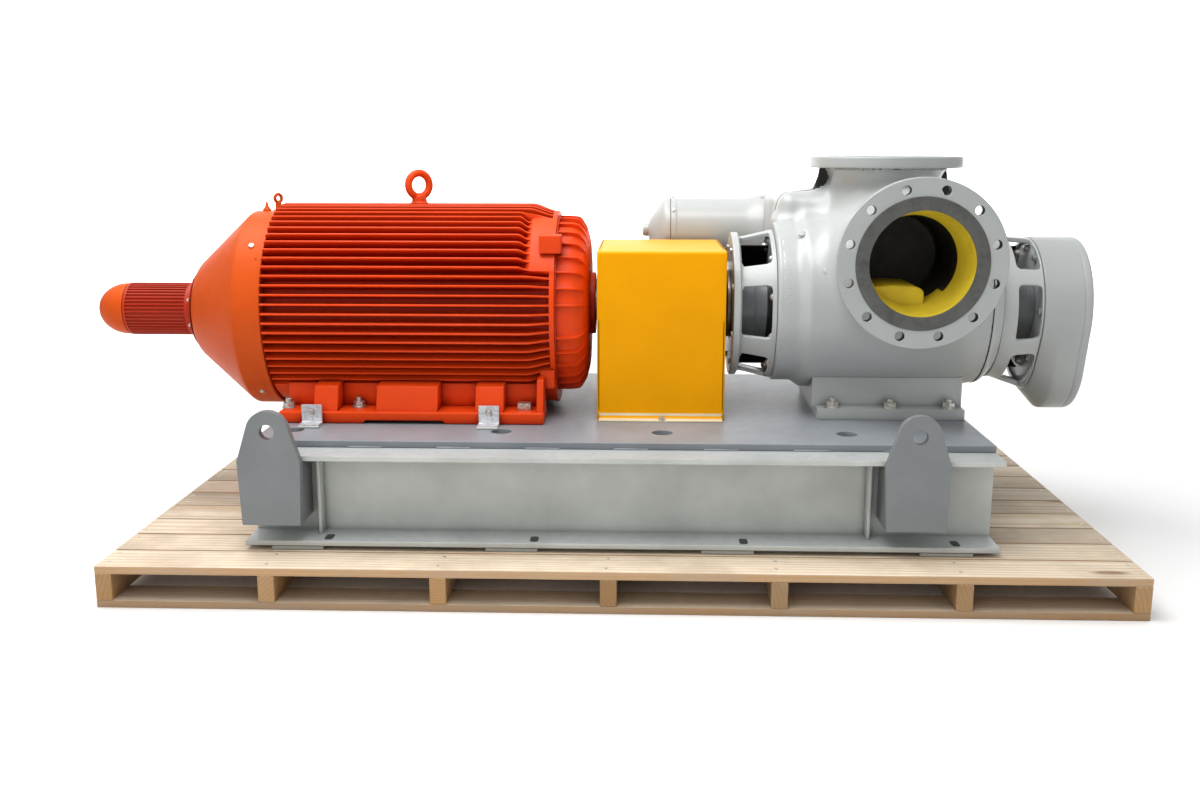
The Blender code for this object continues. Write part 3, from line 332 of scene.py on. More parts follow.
def cage(outer, inner, x, windows, half_angle, corner=0.012, fill=8, count=6):
    """A round wall about the shaft with windows: grids at the outer and the inner radius for each place in x,
    without the window cells, joined by walls wherever a cell is missing.

    Windows is the pair of x between which they lie; a window's corner point is drawn in on the diagonal,
    so that three points make its round.
    """
    period, half, near = tau / count, radians(half_angle), corner / outer.mean()
    inside = [-half, *np.linspace(-half + near, half - near, fill + 1), half]
    local = np.concatenate((inside, np.linspace(half, period - half, fill + 1)[1:-1]))
    angle = (np.arange(count)[:, None] * period + local[None, :]).reshape(-1)
    columns, rows = len(angle), len(x)
    first, last = [int(np.abs(x - place).argmin()) for place in windows]
    place = np.tile(np.arange(len(local)), count)
    cell_open = np.zeros((rows - 1, columns), bool)
    cell_open[first:last] = place < len(inside) - 1
    twist, shift = np.zeros((2, rows, columns))
    draw = corner * (1 - cos(pi / 4))
    for row, down in ((first, 1), (last, -1)):
        for spot, side in ((0, 1), (len(inside) - 1, -1)):
            twist[row, place == spot] = side * draw / outer.mean()
            shift[row, place == spot] = down * draw
    points = []
    for wall in (outer[:, None], inner[:, None]):
        grid = placed(x[:, None] + shift, wall * np.cos(angle + twist), wall * np.sin(angle + twist), "X",
                      SHAFT)
        points.append(grid.reshape(-1, 3))
    total = rows * columns
    numbers = np.arange(total).reshape(rows, columns)
    beside = np.roll(numbers, -1, axis=1)
    cells = np.stack((numbers[:-1], beside[:-1], beside[1:], numbers[1:]), axis=-1)
    solid = ~cell_open
    edge = np.ones((rows, columns), bool)
    edge[1:-1] = cell_open[1:] != cell_open[:-1]
    edge[0], edge[-1] = solid[0], solid[-1]
    across = np.stack((numbers, beside, beside + total, numbers + total), axis=-1)[edge]
    upright = np.stack((numbers[:-1], numbers[1:], numbers[1:] + total, numbers[:-1] + total), axis=-1)
    upright = upright[cell_open != np.roll(cell_open, 1, axis=1)]
    return np.concatenate(points), np.concatenate((cells[solid], cells[solid] + total, across, upright))


def drilled_ring(bore, rim, span, circle, hole, axis, centre, soft=0.0012, steps=16, holes=12):
    """A flat flange with round holes. Each hole's sector is a grid: one parameter goes round the hole and
    the other from its edge out to the sector's border, which is the bore, the rim or a line between holes.

    A border point is where the ray from the hole's middle leaves the sector; front and back grids have the
    same borders, and the hole's wall joins them.
    """
    half = pi / holes
    turns = [math.atan2(radius * sin(side), radius * cos(side) - circle) % tau
             for radius in (bore, rim) for side in (-half, half)]
    base = np.sort(np.array(turns))
    base = np.append(base, base[0] + tau)
    angle = np.concatenate([np.linspace(a, b, steps, endpoint=False) for a, b in zip(base, base[1:])])
    way = np.stack((np.cos(angle), np.sin(angle)), axis=1)
    reach = np.full(len(angle), np.inf)
    for side in (-half, half):
        normal = np.array((sin(side), -cos(side))) * (1 if side > 0 else -1)
        slope = way @ normal
        with np.errstate(divide="ignore", invalid="ignore"):
            far = np.where(np.abs(slope) > 1e-9, -circle * normal[0] / slope, np.inf)
        reach = np.minimum(reach, np.where(far > 1e-9, far, np.inf))
    for radius in (bore, rim):
        middle = circle * way[:, 0]
        root = middle ** 2 - (circle ** 2 - radius ** 2)
        near = -middle - np.sqrt(np.maximum(root, 0))
        beyond = -middle + np.sqrt(np.maximum(root, 0))
        hit = np.where(near > 1e-9, near, beyond) if radius == bore else beyond
        reach = np.minimum(reach, np.where((root > 0) & (hit > 1e-9), hit, np.inf))
    border, edge, mouth = [np.array((circle, 0)) + way * far for far in (reach[:, None], hole, hole + soft)]
    front, back = span
    inner = soft if back > front else -soft
    rows = [(border, front), (mouth, front), (edge, front + inner), (edge, back - inner), (mouth, back),
            (border, back)]
    shells = []
    for index in range(holes):
        turn = pi / holes + tau * index / holes
        rotate = np.array(((cos(turn), sin(turn)), (-sin(turn), cos(turn))))
        outlines = np.array([points @ rotate for points, _ in rows])
        shells.append(sheet(stacked(outlines, [height for _, height in rows], axis, centre)))
    return together(*shells)


# The slot of the record that each finish belongs to
SLOTS = {"motor": "motor_paint", "hood": "hood_paint", "barrel": "fan_motor_paint", "guard": "guard_paint",
         "guard_lip_highlight": "guard_paint", "pump": "pump_paint", "flange": "pump_paint", "primer": "pump_paint",
         "dark": "pump_paint", "base": "base_paint", "plate": "base_paint", "weld": "base_paint",
         "lug": "lug_paint", "sealing_face": "machined_steel", "shaft": "machined_steel",
         "bearing_cover": "machined_steel", "screw": "zinc_steel", "pine": "pallet_pine",
         "pine_across": "pallet_pine"}


def piece(name, shell, finishes, stands_for="", slot=None, body="unit", bevel=0, weld=1e-5, smooth=38,
          pick=None):
    """Makes an object from a shell or a list of them: doubles merged, normals outward, smooth but for edges
    sharper than so many degrees.

    It rides on its body and may stand for CAD nodes. Pick gives each face's material from its middle points.
    """
    points, faces = together(*shell) if isinstance(shell, list) else shell
    mesh = bpy.data.meshes.new(name)
    mesh.from_pydata(points.tolist(), [], faces.tolist())
    tidy = bmesh.new()
    tidy.from_mesh(mesh)
    bmesh.ops.remove_doubles(tidy, verts=tidy.verts, dist=weld)
    bmesh.ops.dissolve_degenerate(tidy, edges=tidy.edges, dist=weld * 0.1)
    bmesh.ops.recalc_face_normals(tidy, faces=tidy.faces)
    tidy.to_mesh(mesh)
    tidy.free()
    mesh.polygons.foreach_set("use_smooth", np.ones(len(mesh.polygons), bool))
    mesh.set_sharp_from_angle(angle=radians(smooth))
    item = bpy.data.objects.new(name, mesh)
    bpy.context.scene.collection.objects.link(item)
    for word in finishes.split():
        mesh.materials.append(finish(word))
    if pick is not None:
        middles = np.zeros(len(mesh.polygons) * 3)
        mesh.polygons.foreach_get("center", middles)
        mesh.polygons.foreach_set("material_index", pick(middles.reshape(-1, 3)).astype(np.int32))
    if bevel:
        round_edges(item, bevel)
    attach(item, body)
    slot = SLOTS.get(finishes.split()[0]) if slot is None else slot
    if stands_for:
        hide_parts(stands_for)
    return item


def round_edges(item, width):
    """A small live bevel on the sharp edges, then normals weighted by area, so that flat faces stay flat."""
    bevel = item.modifiers.new("edges", "BEVEL")
    bevel.width = width
    bevel.segments = 2
    bevel.limit_method = "ANGLE"
    bevel.angle_limit = radians(40)
    bevel.use_clamp_overlap = True
    weighted = item.modifiers.new("flat faces", "WEIGHTED_NORMAL")
    weighted.mode = "FACE_AREA"
    weighted.weight = 100
    weighted.keep_sharp = False


def dress(name, word, bevel=0.0015):
    """A CAD node that keeps its shape: welded, with softened edges and its finish."""
    item = NODES[name]
    item.data.polygons.foreach_set("use_smooth", np.ones(len(item.data.polygons), bool))
    item.data.materials.clear()
    item.data.materials.append(finish(word))
    item.modifiers.new("weld", "WELD").merge_threshold = 0.00002
    round_edges(item, bevel)


# Finishes

def connect(tree, item, links):
    """Gives each input a value, an output, or a node whose result is meant. A tuple names inputs by order."""
    for socket, value in (links.items() if isinstance(links, dict) else enumerate(links)):
        if isinstance(value, bpy.types.Node):
            value = value.outputs[2 if value.bl_idname == "ShaderNodeMix" else 0]
        if isinstance(value, bpy.types.NodeSocket):
            tree.links.new(value, item.inputs[socket])
        else:
            item.inputs[socket].default_value = value


def add(tree, kind, links=(), **settings):
    """Adds a node with its settings and its links."""
    item = tree.nodes.new("ShaderNode" + kind)
    for name, value in settings.items():
        setattr(item, name, value)
    connect(tree, item, links)
    return item


def blank(name):
    """A new material with its tree, its shader and the object's coordinates in metres."""
    material = bpy.data.materials.new(name)
    material.use_nodes = True
    tree = material.node_tree
    return material, tree, tree.nodes["Principled BSDF"], add(tree, "TexCoord").outputs["Object"]


# Settings of a colour mix, and of one that multiplies
RGBA = {"data_type": "RGBA"}
TIMES = {"data_type": "RGBA", "blend_type": "MULTIPLY"}


def paint(name, colour, roughness, coat, casting_mm=0.0, casting_depth=0.0, peel_mm=3.0, peel_depth=0.00006,
          drift=0.1, dust_and_top_light="#B8B4AC", dust_and_top_light_share=0.06, hollow_shade_strength=0.3, hollow="#1E1C1A", hollow_reach=0.02,
          shine=0.5):
    """Sprayed enamel: the colour drifts over a hand's width, upward faces hold pale dust, which on the motor,
    the hood, the guard and the pump is a lighter tint of the paint and stands also for painted top light,
    ambient occlusion darkens the hollows as painted shade, less on upward faces where the light from above
    reaches, and the surface has the metal's own texture under the orange peel of the paint."""
    material, tree, shader, place = blank(name)
    broad = add(tree, "TexNoise", {"Vector": place, "Scale": 1 / 0.16, "Detail": 4.0, "Roughness": 0.6})
    lean = add(tree, "MapRange", (broad, 0.3, 0.7, 1 - drift, 1 + drift * 0.5))
    tint = add(tree, "Mix", {0: 1.0, 6: tuple(colour), 7: lean}, **TIMES)
    facing = add(tree, "SeparateXYZ", (add(tree, "NewGeometry").outputs["Normal"],)).outputs[2]
    spots = add(tree, "TexNoise", {"Vector": place, "Scale": 1 / 0.022, "Detail": 6.0, "Roughness": 0.7})
    # Upward faces move toward the dust colour: real dust, and on the motor, hood, guard and pump, whose dust
    # is a lighter tint of their paint, painted top light as well.
    lying = add(tree, "MapRange", (facing, 0.35, 1.0, 0.0, dust_and_top_light_share * 2))
    amount = add(tree, "Math", (lying, spots), operation="MULTIPLY")
    dusted_and_top_lit = add(tree, "Mix", {0: amount, 6: tint, 7: linear(dust_and_top_light)}, **RGBA)
    # Ambient occlusion mixes each hollow toward the hollow colour: painted shade, halved on faces turned up
    # to the light above.
    near = add(tree, "AmbientOcclusion", {"Distance": hollow_reach}, samples=4).outputs["AO"]
    hollow_shade_amount = add(tree, "MapRange", (near, 0.3, 0.82, hollow_shade_strength, 0.0))
    top_light_easing = add(tree, "MapRange", (facing, 0.2, 0.9, 1.0, 0.5))
    share = add(tree, "Math", (hollow_shade_amount, top_light_easing), operation="MULTIPLY")
    hollow_shaded = add(tree, "Mix", {0: share, 6: dusted_and_top_lit, 7: linear(hollow)}, **RGBA)
    dull = add(tree, "MapRange", (spots, 0.3, 0.7, roughness * 0.86, min(1.0, roughness * 1.2)))
    peel = add(tree, "TexNoise", {"Vector": place, "Scale": 1000 / peel_mm, "Detail": 2.0})
    bump = add(tree, "Bump", {"Height": peel, "Distance": peel_depth, "Strength": 1.0})
    if casting_mm:
        sand = add(tree, "TexNoise", {"Vector": place, "Scale": 1000 / casting_mm, "Detail": 5.0,
                                      "Roughness": 0.62})
        bump = add(tree, "Bump", {"Height": sand, "Distance": casting_depth, "Strength": 1.0, "Normal": bump})
    connect(tree, shader, {"Base Color": hollow_shaded, "Roughness": dull, "Normal": bump, "IOR": 1.5,
                           "Specular IOR Level": shine, "Coat Weight": coat, "Coat Roughness": 0.12})
    return material


def turned_steel(name, colour, roughness, axis, stain="#3A3530", stain_share=0.35, mark_mm=1.2,
                 depth=0.00004):
    """Steel faced in a lathe: fine rings about the axis named catch the light, and oil stains darken it."""
    material, tree, shader, place = blank(name)
    rings = add(tree, "TexWave", {"Vector": place, "Scale": tau / 20 * 1000 / mark_mm, "Distortion": 0.6,
                                  "Detail": 2.0}, wave_type="RINGS", rings_direction=axis)
    stains = add(tree, "TexNoise", {"Vector": place, "Scale": 1 / 0.035, "Detail": 6.0, "Roughness": 0.65})
    share = add(tree, "MapRange", (stains, 0.45, 0.75, 0.0, stain_share))
    colours = add(tree, "Mix", {0: share, 6: linear(colour), 7: linear(stain)}, **RGBA)
    dull = add(tree, "MapRange", (stains, 0.3, 0.8, roughness, roughness + 0.25))
    bump = add(tree, "Bump", {"Height": rings, "Distance": depth, "Strength": 0.8})
    connect(tree, shader, {"Base Color": colours, "Roughness": dull, "Normal": bump, "Metallic": 1.0})
    return material


def plated_steel(name, colour, roughness, tarnish):
    """Zinc plated fasteners: bright, slightly blue, mottled where the plating has dulled."""
    material, tree, shader, place = blank(name)
    mottle = add(tree, "TexNoise", {"Vector": place, "Scale": 1 / 0.006, "Detail": 4.0})
    share = add(tree, "MapRange", (mottle, 0.4, 0.65, 0.0, 0.7))
    colours = add(tree, "Mix", {0: share, 6: linear(colour), 7: linear(tarnish)}, **RGBA)
    dull = add(tree, "MapRange", (mottle, 0.3, 0.7, roughness, roughness + 0.2))
    bump = add(tree, "Bump", {"Height": mottle, "Distance": 0.00005, "Strength": 0.6})
    connect(tree, shader, {"Base Color": colours, "Roughness": dull, "Normal": bump, "Metallic": 1.0})
    return material


def sawn_pine(name, pale, dark, edge, turn=0.0):
    """Sawn pallet pine: grain rings 11 mm apart cut along the board, a fine fibre, a few knots, saw marks,
    and sides browner than the weathered top, partly the sawn edges' own colour and partly painted shade on
    faces turned from the light above. Each board's own number moves and tints its grain."""
    material, tree, shader, place = blank(name)
    own = add(tree, "Attribute", attribute_name="board").outputs["Fac"]
    jump = add(tree, "CombineXYZ",
               [add(tree, "Math", (own, far), operation="MULTIPLY") for far in (3.7, 0.31, 0.17)])
    lengthwise = add(tree, "Mapping", {"Vector": place, "Rotation": (0.0, 0.0, turn)})
    moved = add(tree, "VectorMath", (lengthwise, jump), operation="ADD")
    stretched, thin, spaced = [add(tree, "Mapping", {"Vector": moved, "Scale": scale}) for scale in
                               ((0.1, 1.0, 1.6), (9.0, 420.0, 420.0), (2.2, 7.0, 7.0))]
    rings = add(tree, "TexWave", {"Vector": stretched, "Scale": tau / 20 * 1000 / 11, "Distortion": 5.5,
                                  "Detail": 2.5, "Detail Scale": 0.35, "Detail Roughness": 0.55},
                wave_type="RINGS", rings_direction="X")
    fibre = add(tree, "TexNoise", {"Vector": thin, "Scale": 1.0, "Detail": 3.0})
    cells = add(tree, "TexVoronoi", {"Vector": spaced, "Scale": 1.0, "Randomness": 1.0}).outputs["Distance"]
    facing = add(tree, "SeparateXYZ", (add(tree, "NewGeometry").outputs["Normal"],)).outputs[2]
    weather = add(tree, "TexNoise", {"Vector": moved, "Scale": 5.0, "Detail": 6.0, "Roughness": 0.65})
    soft = add(tree, "MapRange", (rings, 0.25, 0.95, 0.0, 0.75))
    wood = add(tree, "Mix", {0: soft, 6: linear(pale), 7: linear(dark)}, **RGBA)
    lines = add(tree, "MapRange", (fibre, 0.3, 0.7, 0.88, 1.06))
    wood = add(tree, "Mix", {0: 1.0, 6: wood, 7: lines}, **TIMES)
    # Knots, then sides turned toward the edge colour (the sawn edges' own colour and painted shade together),
    # then grey weathering.
    for value, low, high, low_share, high_share, colour in (
            (cells, 0.05, 0.115, 1.0, 0.0, "#7A5230"), (facing, 0.25, 0.75, 0.78, 0.0, edge),
            (weather, 0.45, 0.68, 0.0, 0.6, "#A8957F")):
        share = add(tree, "MapRange", (value, low, high, low_share, high_share))
        wood = add(tree, "Mix", {0: share, 6: wood, 7: linear(colour)}, **RGBA)
    per_board = add(tree, "MapRange", (own, 0.0, 1.0, 0.74, 1.08))
    toned = add(tree, "Mix", {0: 1.0, 6: wood, 7: per_board}, **TIMES)
    saw = add(tree, "TexWave", {"Vector": moved, "Scale": tau / 20 * 1000 / 9, "Distortion": 1.5,
                                "Detail": 1.0}, bands_direction="X")
    rough = add(tree, "Bump", {"Height": saw, "Distance": 0.00012, "Strength": 0.5})
    bump = add(tree, "Bump", {"Height": fibre, "Distance": 0.0004, "Strength": 0.8, "Normal": rough})
    connect(tree, shader, {"Base Color": toned, "Normal": bump, "Roughness": 0.78, "IOR": 1.45})
    return material


def studio_paper(name, scale, glow=0.0):
    """Matt white paper or cloth with a faint drift of tone; a backdrop also glows."""
    material, tree, shader, place = blank(name)
    tone = add(tree, "TexNoise", {"Vector": place, "Scale": scale, "Detail": 1.0})
    shade = add(tree, "MapRange", (tone, 0.0, 1.0, 0.86, 0.9))
    connect(tree, shader, {"Base Color": shade, "Roughness": 0.9})
    if glow:
        connect(tree, shader, {"Emission Color": (1.0, 1.0, 1.0, 1.0), "Emission Strength": glow})
    return material


def make_finishes(colours):
    """Every finish by name, from the colours in the panel."""
    return {
        # Alkyd enamel sprayed on sand-cast iron: semi-gloss red over a grain that a 4 mm bump keeps visible.
        # The dust on upward faces here is a lighter orange: painted top light. The deep red in the hollows
        # between the fins is painted shade.
        "motor": paint("motor_cast_iron_enamel", colours.motor, 0.42, 0.0, 4.0, 0.00004, dust_and_top_light="#F07040",
                       dust_and_top_light_share=0.05, hollow_shade_strength=0.97, hollow="#860600", hollow_reach=0.03, shine=0.2),
        # The same enamel on rolled sheet: smooth, so only the orange peel shows in its long highlights.
        # The dust on upward faces here is a lighter orange: painted top light.
        "hood": paint("hood_sheet_enamel", colours.hood, 0.4, 0.0, peel_mm=5.0, dust_and_top_light="#E88848", hollow_shade_strength=0.25,
                      shine=0.12),
        # Dark enamel over the ribbed cast aluminium of a small motor: painted shade between its ribs.
        "barrel": paint("fan_motor_aluminium_enamel", colours.fan_motor, 0.48, 0.0, 3.0, 0.0001, hollow_shade_strength=0.45,
                        hollow="#4A0A00", shine=0.25),
        # Safety yellow polyester powder on folded sheet: even colour with a soft orange peel.
        # The dust on upward faces here is a pale yellow: painted top light. The amber in the hollows is
        # painted shade.
        "guard": paint("guard_powder_coat", colours.guard, 0.42, 0.0, peel_mm=2.5, drift=0.05, dust_and_top_light="#FFE080",
                       dust_and_top_light_share=0.2, hollow_shade_strength=0.1, hollow="#7A5200", shine=0.08),
        # Pale cream on the guard's bottom lip and its outward bend: a painted highlight where the bend
        # catches the light from above.
        "guard_lip_highlight": paint("guard_lip_painted_highlight", linear("#E6D9B8"), 0.5, 0.0, drift=0.2),
        # Two-pack gloss on filled, rubbed-down castings: wet highlights that a slow waviness breaks.
        # The near white on upward faces is partly dust and partly painted top light. The hollows take painted
        # shade.
        "pump": paint("pump_casting_gloss_paint", colours.pump, 0.34, 0.22, 34.0, 0.0004, 4.0, 0.00005, 0.06,
                      "#E4E6E4", 0.14, 0.6, hollow_reach=0.026),
        # The same paint on the machined flange faces, where it lies flat, and on the gear case; a shade
        # darker, as painted shade.
        "flange": paint("pump_flange_gloss_paint", colours.flange, 0.32, 0.2, peel_mm=4.0, drift=0.05,
                        hollow_shade_strength=0.4),
        # Satin steelwork paint on rolled sections: dull, streaked where it was brushed.
        "base": paint("base_steelwork_paint", colours.base, 0.46, 0.08, 40.0, 0.0006, drift=0.16,
                      dust_and_top_light="#8E949A", dust_and_top_light_share=0.4, hollow_shade_strength=0.55),
        "plate": paint("top_plate_paint", colours.plate, 0.44, 0.05, 60.0, 0.0004, drift=0.16, dust_and_top_light="#A6A8AC",
                       dust_and_top_light_share=0.1, hollow_shade_strength=0.35),
        "lug": paint("lug_steelwork_paint", colours.lug, 0.42, 0.1, 30.0, 0.0005, drift=0.12),
        # Weld metal under paint: pale and glossy where the paint is thick on the ripples.
        "weld": paint("painted_weld_bead", linear("#A6AAA8"), 0.3, 0.3, 2.0, 0.0002),
        # Yellow anticorrosion primer inside the casting: matt, over rough sand-cast iron.
        "primer": paint("casting_yellow_primer", colours.primer, 0.62, 0.0, 5.0, 0.0005, drift=0.22,
                        dust_and_top_light_share=0.0, hollow_shade_strength=0.55),
        # Near black: painted shade deep in the suction bore, at the far end of the drive bearing housing and
        # on the liners behind the bracket windows; in the suction flange's bolt holes it stands both for
        # their dark bare steel and for painted shade.
        "dark": paint("near_black_shade_and_bare_steel", linear("#0C0A08"), 0.55, 0.0, 6.0, 0.0004),
        # Carbon steel faced in a lathe: grey rings about the flange's or the shaft's own axis.
        "sealing_face": turned_steel("machined_sealing_face", "#6C6D6A", 0.48, "Y"),
        "shaft": turned_steel("turned_shaft_steel", "#A8A6A2", 0.3, "X"),
        "bearing_cover": turned_steel("turned_bearing_cover", "#9C9288", 0.34, "X", "#5A4030", 0.6),
        # Zinc plating on bolts and angle brackets: bright blue-grey, mottled.
        "zinc": plated_steel("zinc_plated_steel", "#F2F3F6", 0.42, "#C4C7CC"),
        # Zinc on the screws that were painted over once and rubbed: duller.
        "screw": plated_steel("dull_screw_steel", "#DEDCD6", 0.4, "#958F84"),
        # Sawn softwood, dry and unplaned: matt, with its grain along the board.
        "pine": sawn_pine("sawn_pallet_pine", "#D8CAB6", "#C4AB8A", "#A87F50"),
        "pine_across": sawn_pine("sawn_pallet_pine_across", "#D2B992", "#B59160", "#9A7040", pi / 2),
        # Black nitrile of the gaskets, and painted shade on the hood's vent hole, the rail flange slots and
        # the rib beside the discharge neck: a plain dark surface with a faint sheen.
        "rubber": paint("black_rubber_and_painted_shade", linear("#1A1A1A"), 0.6, 0.0, drift=0.2),
    }


FINISH = {}


def finish(name):
    """The finish named; all of them are made once from the panel's colours."""
    if not FINISH:
        FINISH.update(make_finishes(bpy.context.scene.unit_colours))
    return FINISH[name]


# Settings that a user would change

def colour(name, code, description):
    """A colour picker whose default is an sRGB hex value, kept as linear light."""
    return FloatVectorProperty(name=name, description=description, subtype="COLOR", size=4, min=0.0, max=1.0,
                               default=linear(code))


def length(name, value, low, high, description):
    """A length in metres with its limits."""
    return FloatProperty(name=name, description=description, default=value, min=low, max=high, unit="LENGTH")


class UnitColours(PropertyGroup):
    """The paint of each part of the unit."""

    motor: colour("Motor", "#E2440A", "Enamel of the motor's castings")
    hood: colour("Fan hood", "#C84E14", "Enamel of the cone hood and the dome")
    fan_motor: colour("Fan motor", "#AE2C0C", "Enamel of the small ribbed fan motor")
    guard: colour("Guard", "#E99E00", "Powder coat of the coupling guard")
    pump: colour("Pump", "#AEB2B1", "Gloss paint of the pump castings")
    flange: colour("Pump flanges", "#A2A6A5", "Gloss paint of the drilled flanges and the gear case")
    base: colour("Base beams", "#B9BDB9", "Paint of the rails and cross beams")
    plate: colour("Top plate", "#84898F", "Paint of the plate under the machines")
    lug: colour("Lifting lugs", "#75797B", "Paint of the lifting lugs and the bearing housings")
    primer: colour("Inside primer", "#D8C02E", "Primer inside the pump casing")


class MotorSizes(PropertyGroup):
    """Sizes of the motor's castings and sheet."""

    fin_tip: length("Fin tip", 0.0052, 0.002, 0.008, "Thickness of a fin at its tip")
    fin_root: length("Fin root", 0.0075, 0.003, 0.012, "Thickness of a fin where it leaves the frame")
    rib_height: length("Shield rib height", 0.011, 0.004, 0.016, "How far a rib stands out of the end shield")
    hood_bend: length("Hood bend", 0.014, 0.002, 0.03,
                      "Reach of the bend between the hood's cone and its band")
    barrel_ribs: IntProperty(name="Fan motor ribs", description="Ribs round the fan motor", default=44,
                             min=20, max=80)


class PumpSizes(PropertyGroup):
    """Sizes of the pump's castings and fasteners."""

    fillet: length("Casting fillet", 0.034, 0.01, 0.06,
                   "Reach of the rounds where the necks leave the casing")
    grain: length("Casting cell", 0.006, 0.004, 0.012, "Cell size of the casing's cast skin")
    flange_soft: length("Flange arris", 0.004, 0.001, 0.008, "Round on the flanges' outer corners")
    cover_bolt: length("Cover bolt", 0.024, 0.012, 0.036, "Width across flats of the cover bolts")


class BaseSizes(PropertyGroup):
    """Sizes of the welded base and the pallet."""

    weld: length("Weld bead", 0.0042, 0.002, 0.008, "Radius of the weld beads")
    boards: IntProperty(name="Deck boards", description="Boards across the pallet's deck", default=11, min=9,
                        max=15)
    board_gap: length("Board gap", 0.006, 0.001, 0.01, "Gap between two deck boards")
    nail_head: length("Nail head", 0.0042, 0.002, 0.006, "Radius of a pallet nail's head")


def step_up(value, low, high):
    """0 below low, 1 above high and a smooth s-curve between them."""
    share = np.clip((value - low) / (high - low), 0, 1)
    return share * share * (3 - 2 * share)


# The motor

class BuildFinnedFrame(Operator):
    """Build the motor frame with its radial fins, corner bosses and terminal box pad."""

    bl_idname = "pump_unit.finned_frame"
    bl_label = "Finned motor frame"

    def execute(self, context):
        """Radius over angle and length: the root's, plus the fin's outline times the tip's height over it."""
        sizes = context.scene.motor_sizes
        tip, root, pitch = sizes.fin_tip / 2, sizes.fin_root / 2, tau / FIN_COUNT
        offset = np.array((-pitch * 0.268 / 2, -root - 0.003, -root, -tip, -tip * 0.4, tip * 0.4, tip, root,
                           root + 0.003))
        height = np.tile((0, 0, 0.07, 0.955, 1.0, 1.0, 0.955, 0.07, 0), FIN_COUNT)[None, :]
        turn = (np.arange(FIN_COUNT)[:, None] * pitch + offset[None, :] / 0.262).reshape(-1)
        x = np.array((0, 0, 0.004, 0.01, 0.0115, 0.044, 0.046, 0.049, 0.056, 0.2, 0.4, 0.6, 0.655, 0.662,
                      0.67, 0.678, 0.686, 0.694, 0.702, 0.71, 0.718, 0.726, 0.732, 0.736, 0.7375, 0.7465,
                      0.748, 0.748))
        x = (FRAME_LEFT + x)[:, None]
        angle = np.degrees((turn + pi) % tau - pi)[None, :]
        folded = np.where(np.abs(angle) > 90, np.sign(angle) * 180 - angle, angle)
        boss = step_up(folded, 23.5, 25.5) * (1 - step_up(folded, 68.0, 70.0))
        under = 1 - step_up(folded, -47.4, -46.4)
        base = 0.229 + 0.019 * step_up(x, -0.0675, -0.0625)
        base = base * (1 - boss) + boss * (0.229 + 0.0215 * step_up(x, -0.137, -0.112))
        crown = 0.268 - 0.021 * step_up(x, -0.124, -0.056) * 0.9 - 0.0015 * step_up(x, -0.0675, -0.0625)
        crown_boss = 0.268 - 0.0175 * np.clip((x + 0.14) / 0.016, 0, 1)
        top = np.maximum(crown * (1 - boss) + crown_boss * boss, base)
        radius = (base + height * (top - base)) * (1 - under) + 0.2679 * under
        radius = np.where(x < FRAME_LEFT + 0.003, np.minimum(radius, 0.262), radius)
        radius[[0, -1]] = 0
        shells = [swept(x, radius, turn, mirrored=True)]
        for side in (-1, 1):
            for x, y, z, soft in (((-0.0885, -0.033), 0.214, (0.151, 0.197), 0.004),
                                  ((-0.09, -0.052), 0.206, (-0.2, -0.15), 0.006)):
                shells.append(block(x, (side * y, side * 0.15), np.add(z, SHAFT_Z), soft, soft / 2 + 0.001))
        low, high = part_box("motor_terminal_box")
        shells.append(block((low.x + 0.02, high.x - 0.02), (0.2, low.y - 0.0003),
                            (low.z + 0.015, high.z - 0.015), 0.006, 0.003))
        low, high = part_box("motor_lifting_eye")
        seat = low.z - SHAFT_Z - 0.0003
        boss = softened([(0.225, 0), (0.225, 0.034), (seat, 0.024), (seat, 0)], [0, 0, 0.003, 0], 3)
        shells.append(turned(boss, ((low.x + high.x) / 2, 0, SHAFT_Z), "Z", 32))
        piece("motor_finned_frame", shells, "motor", "motor_frame", smooth=32)
        return {"FINISHED"}


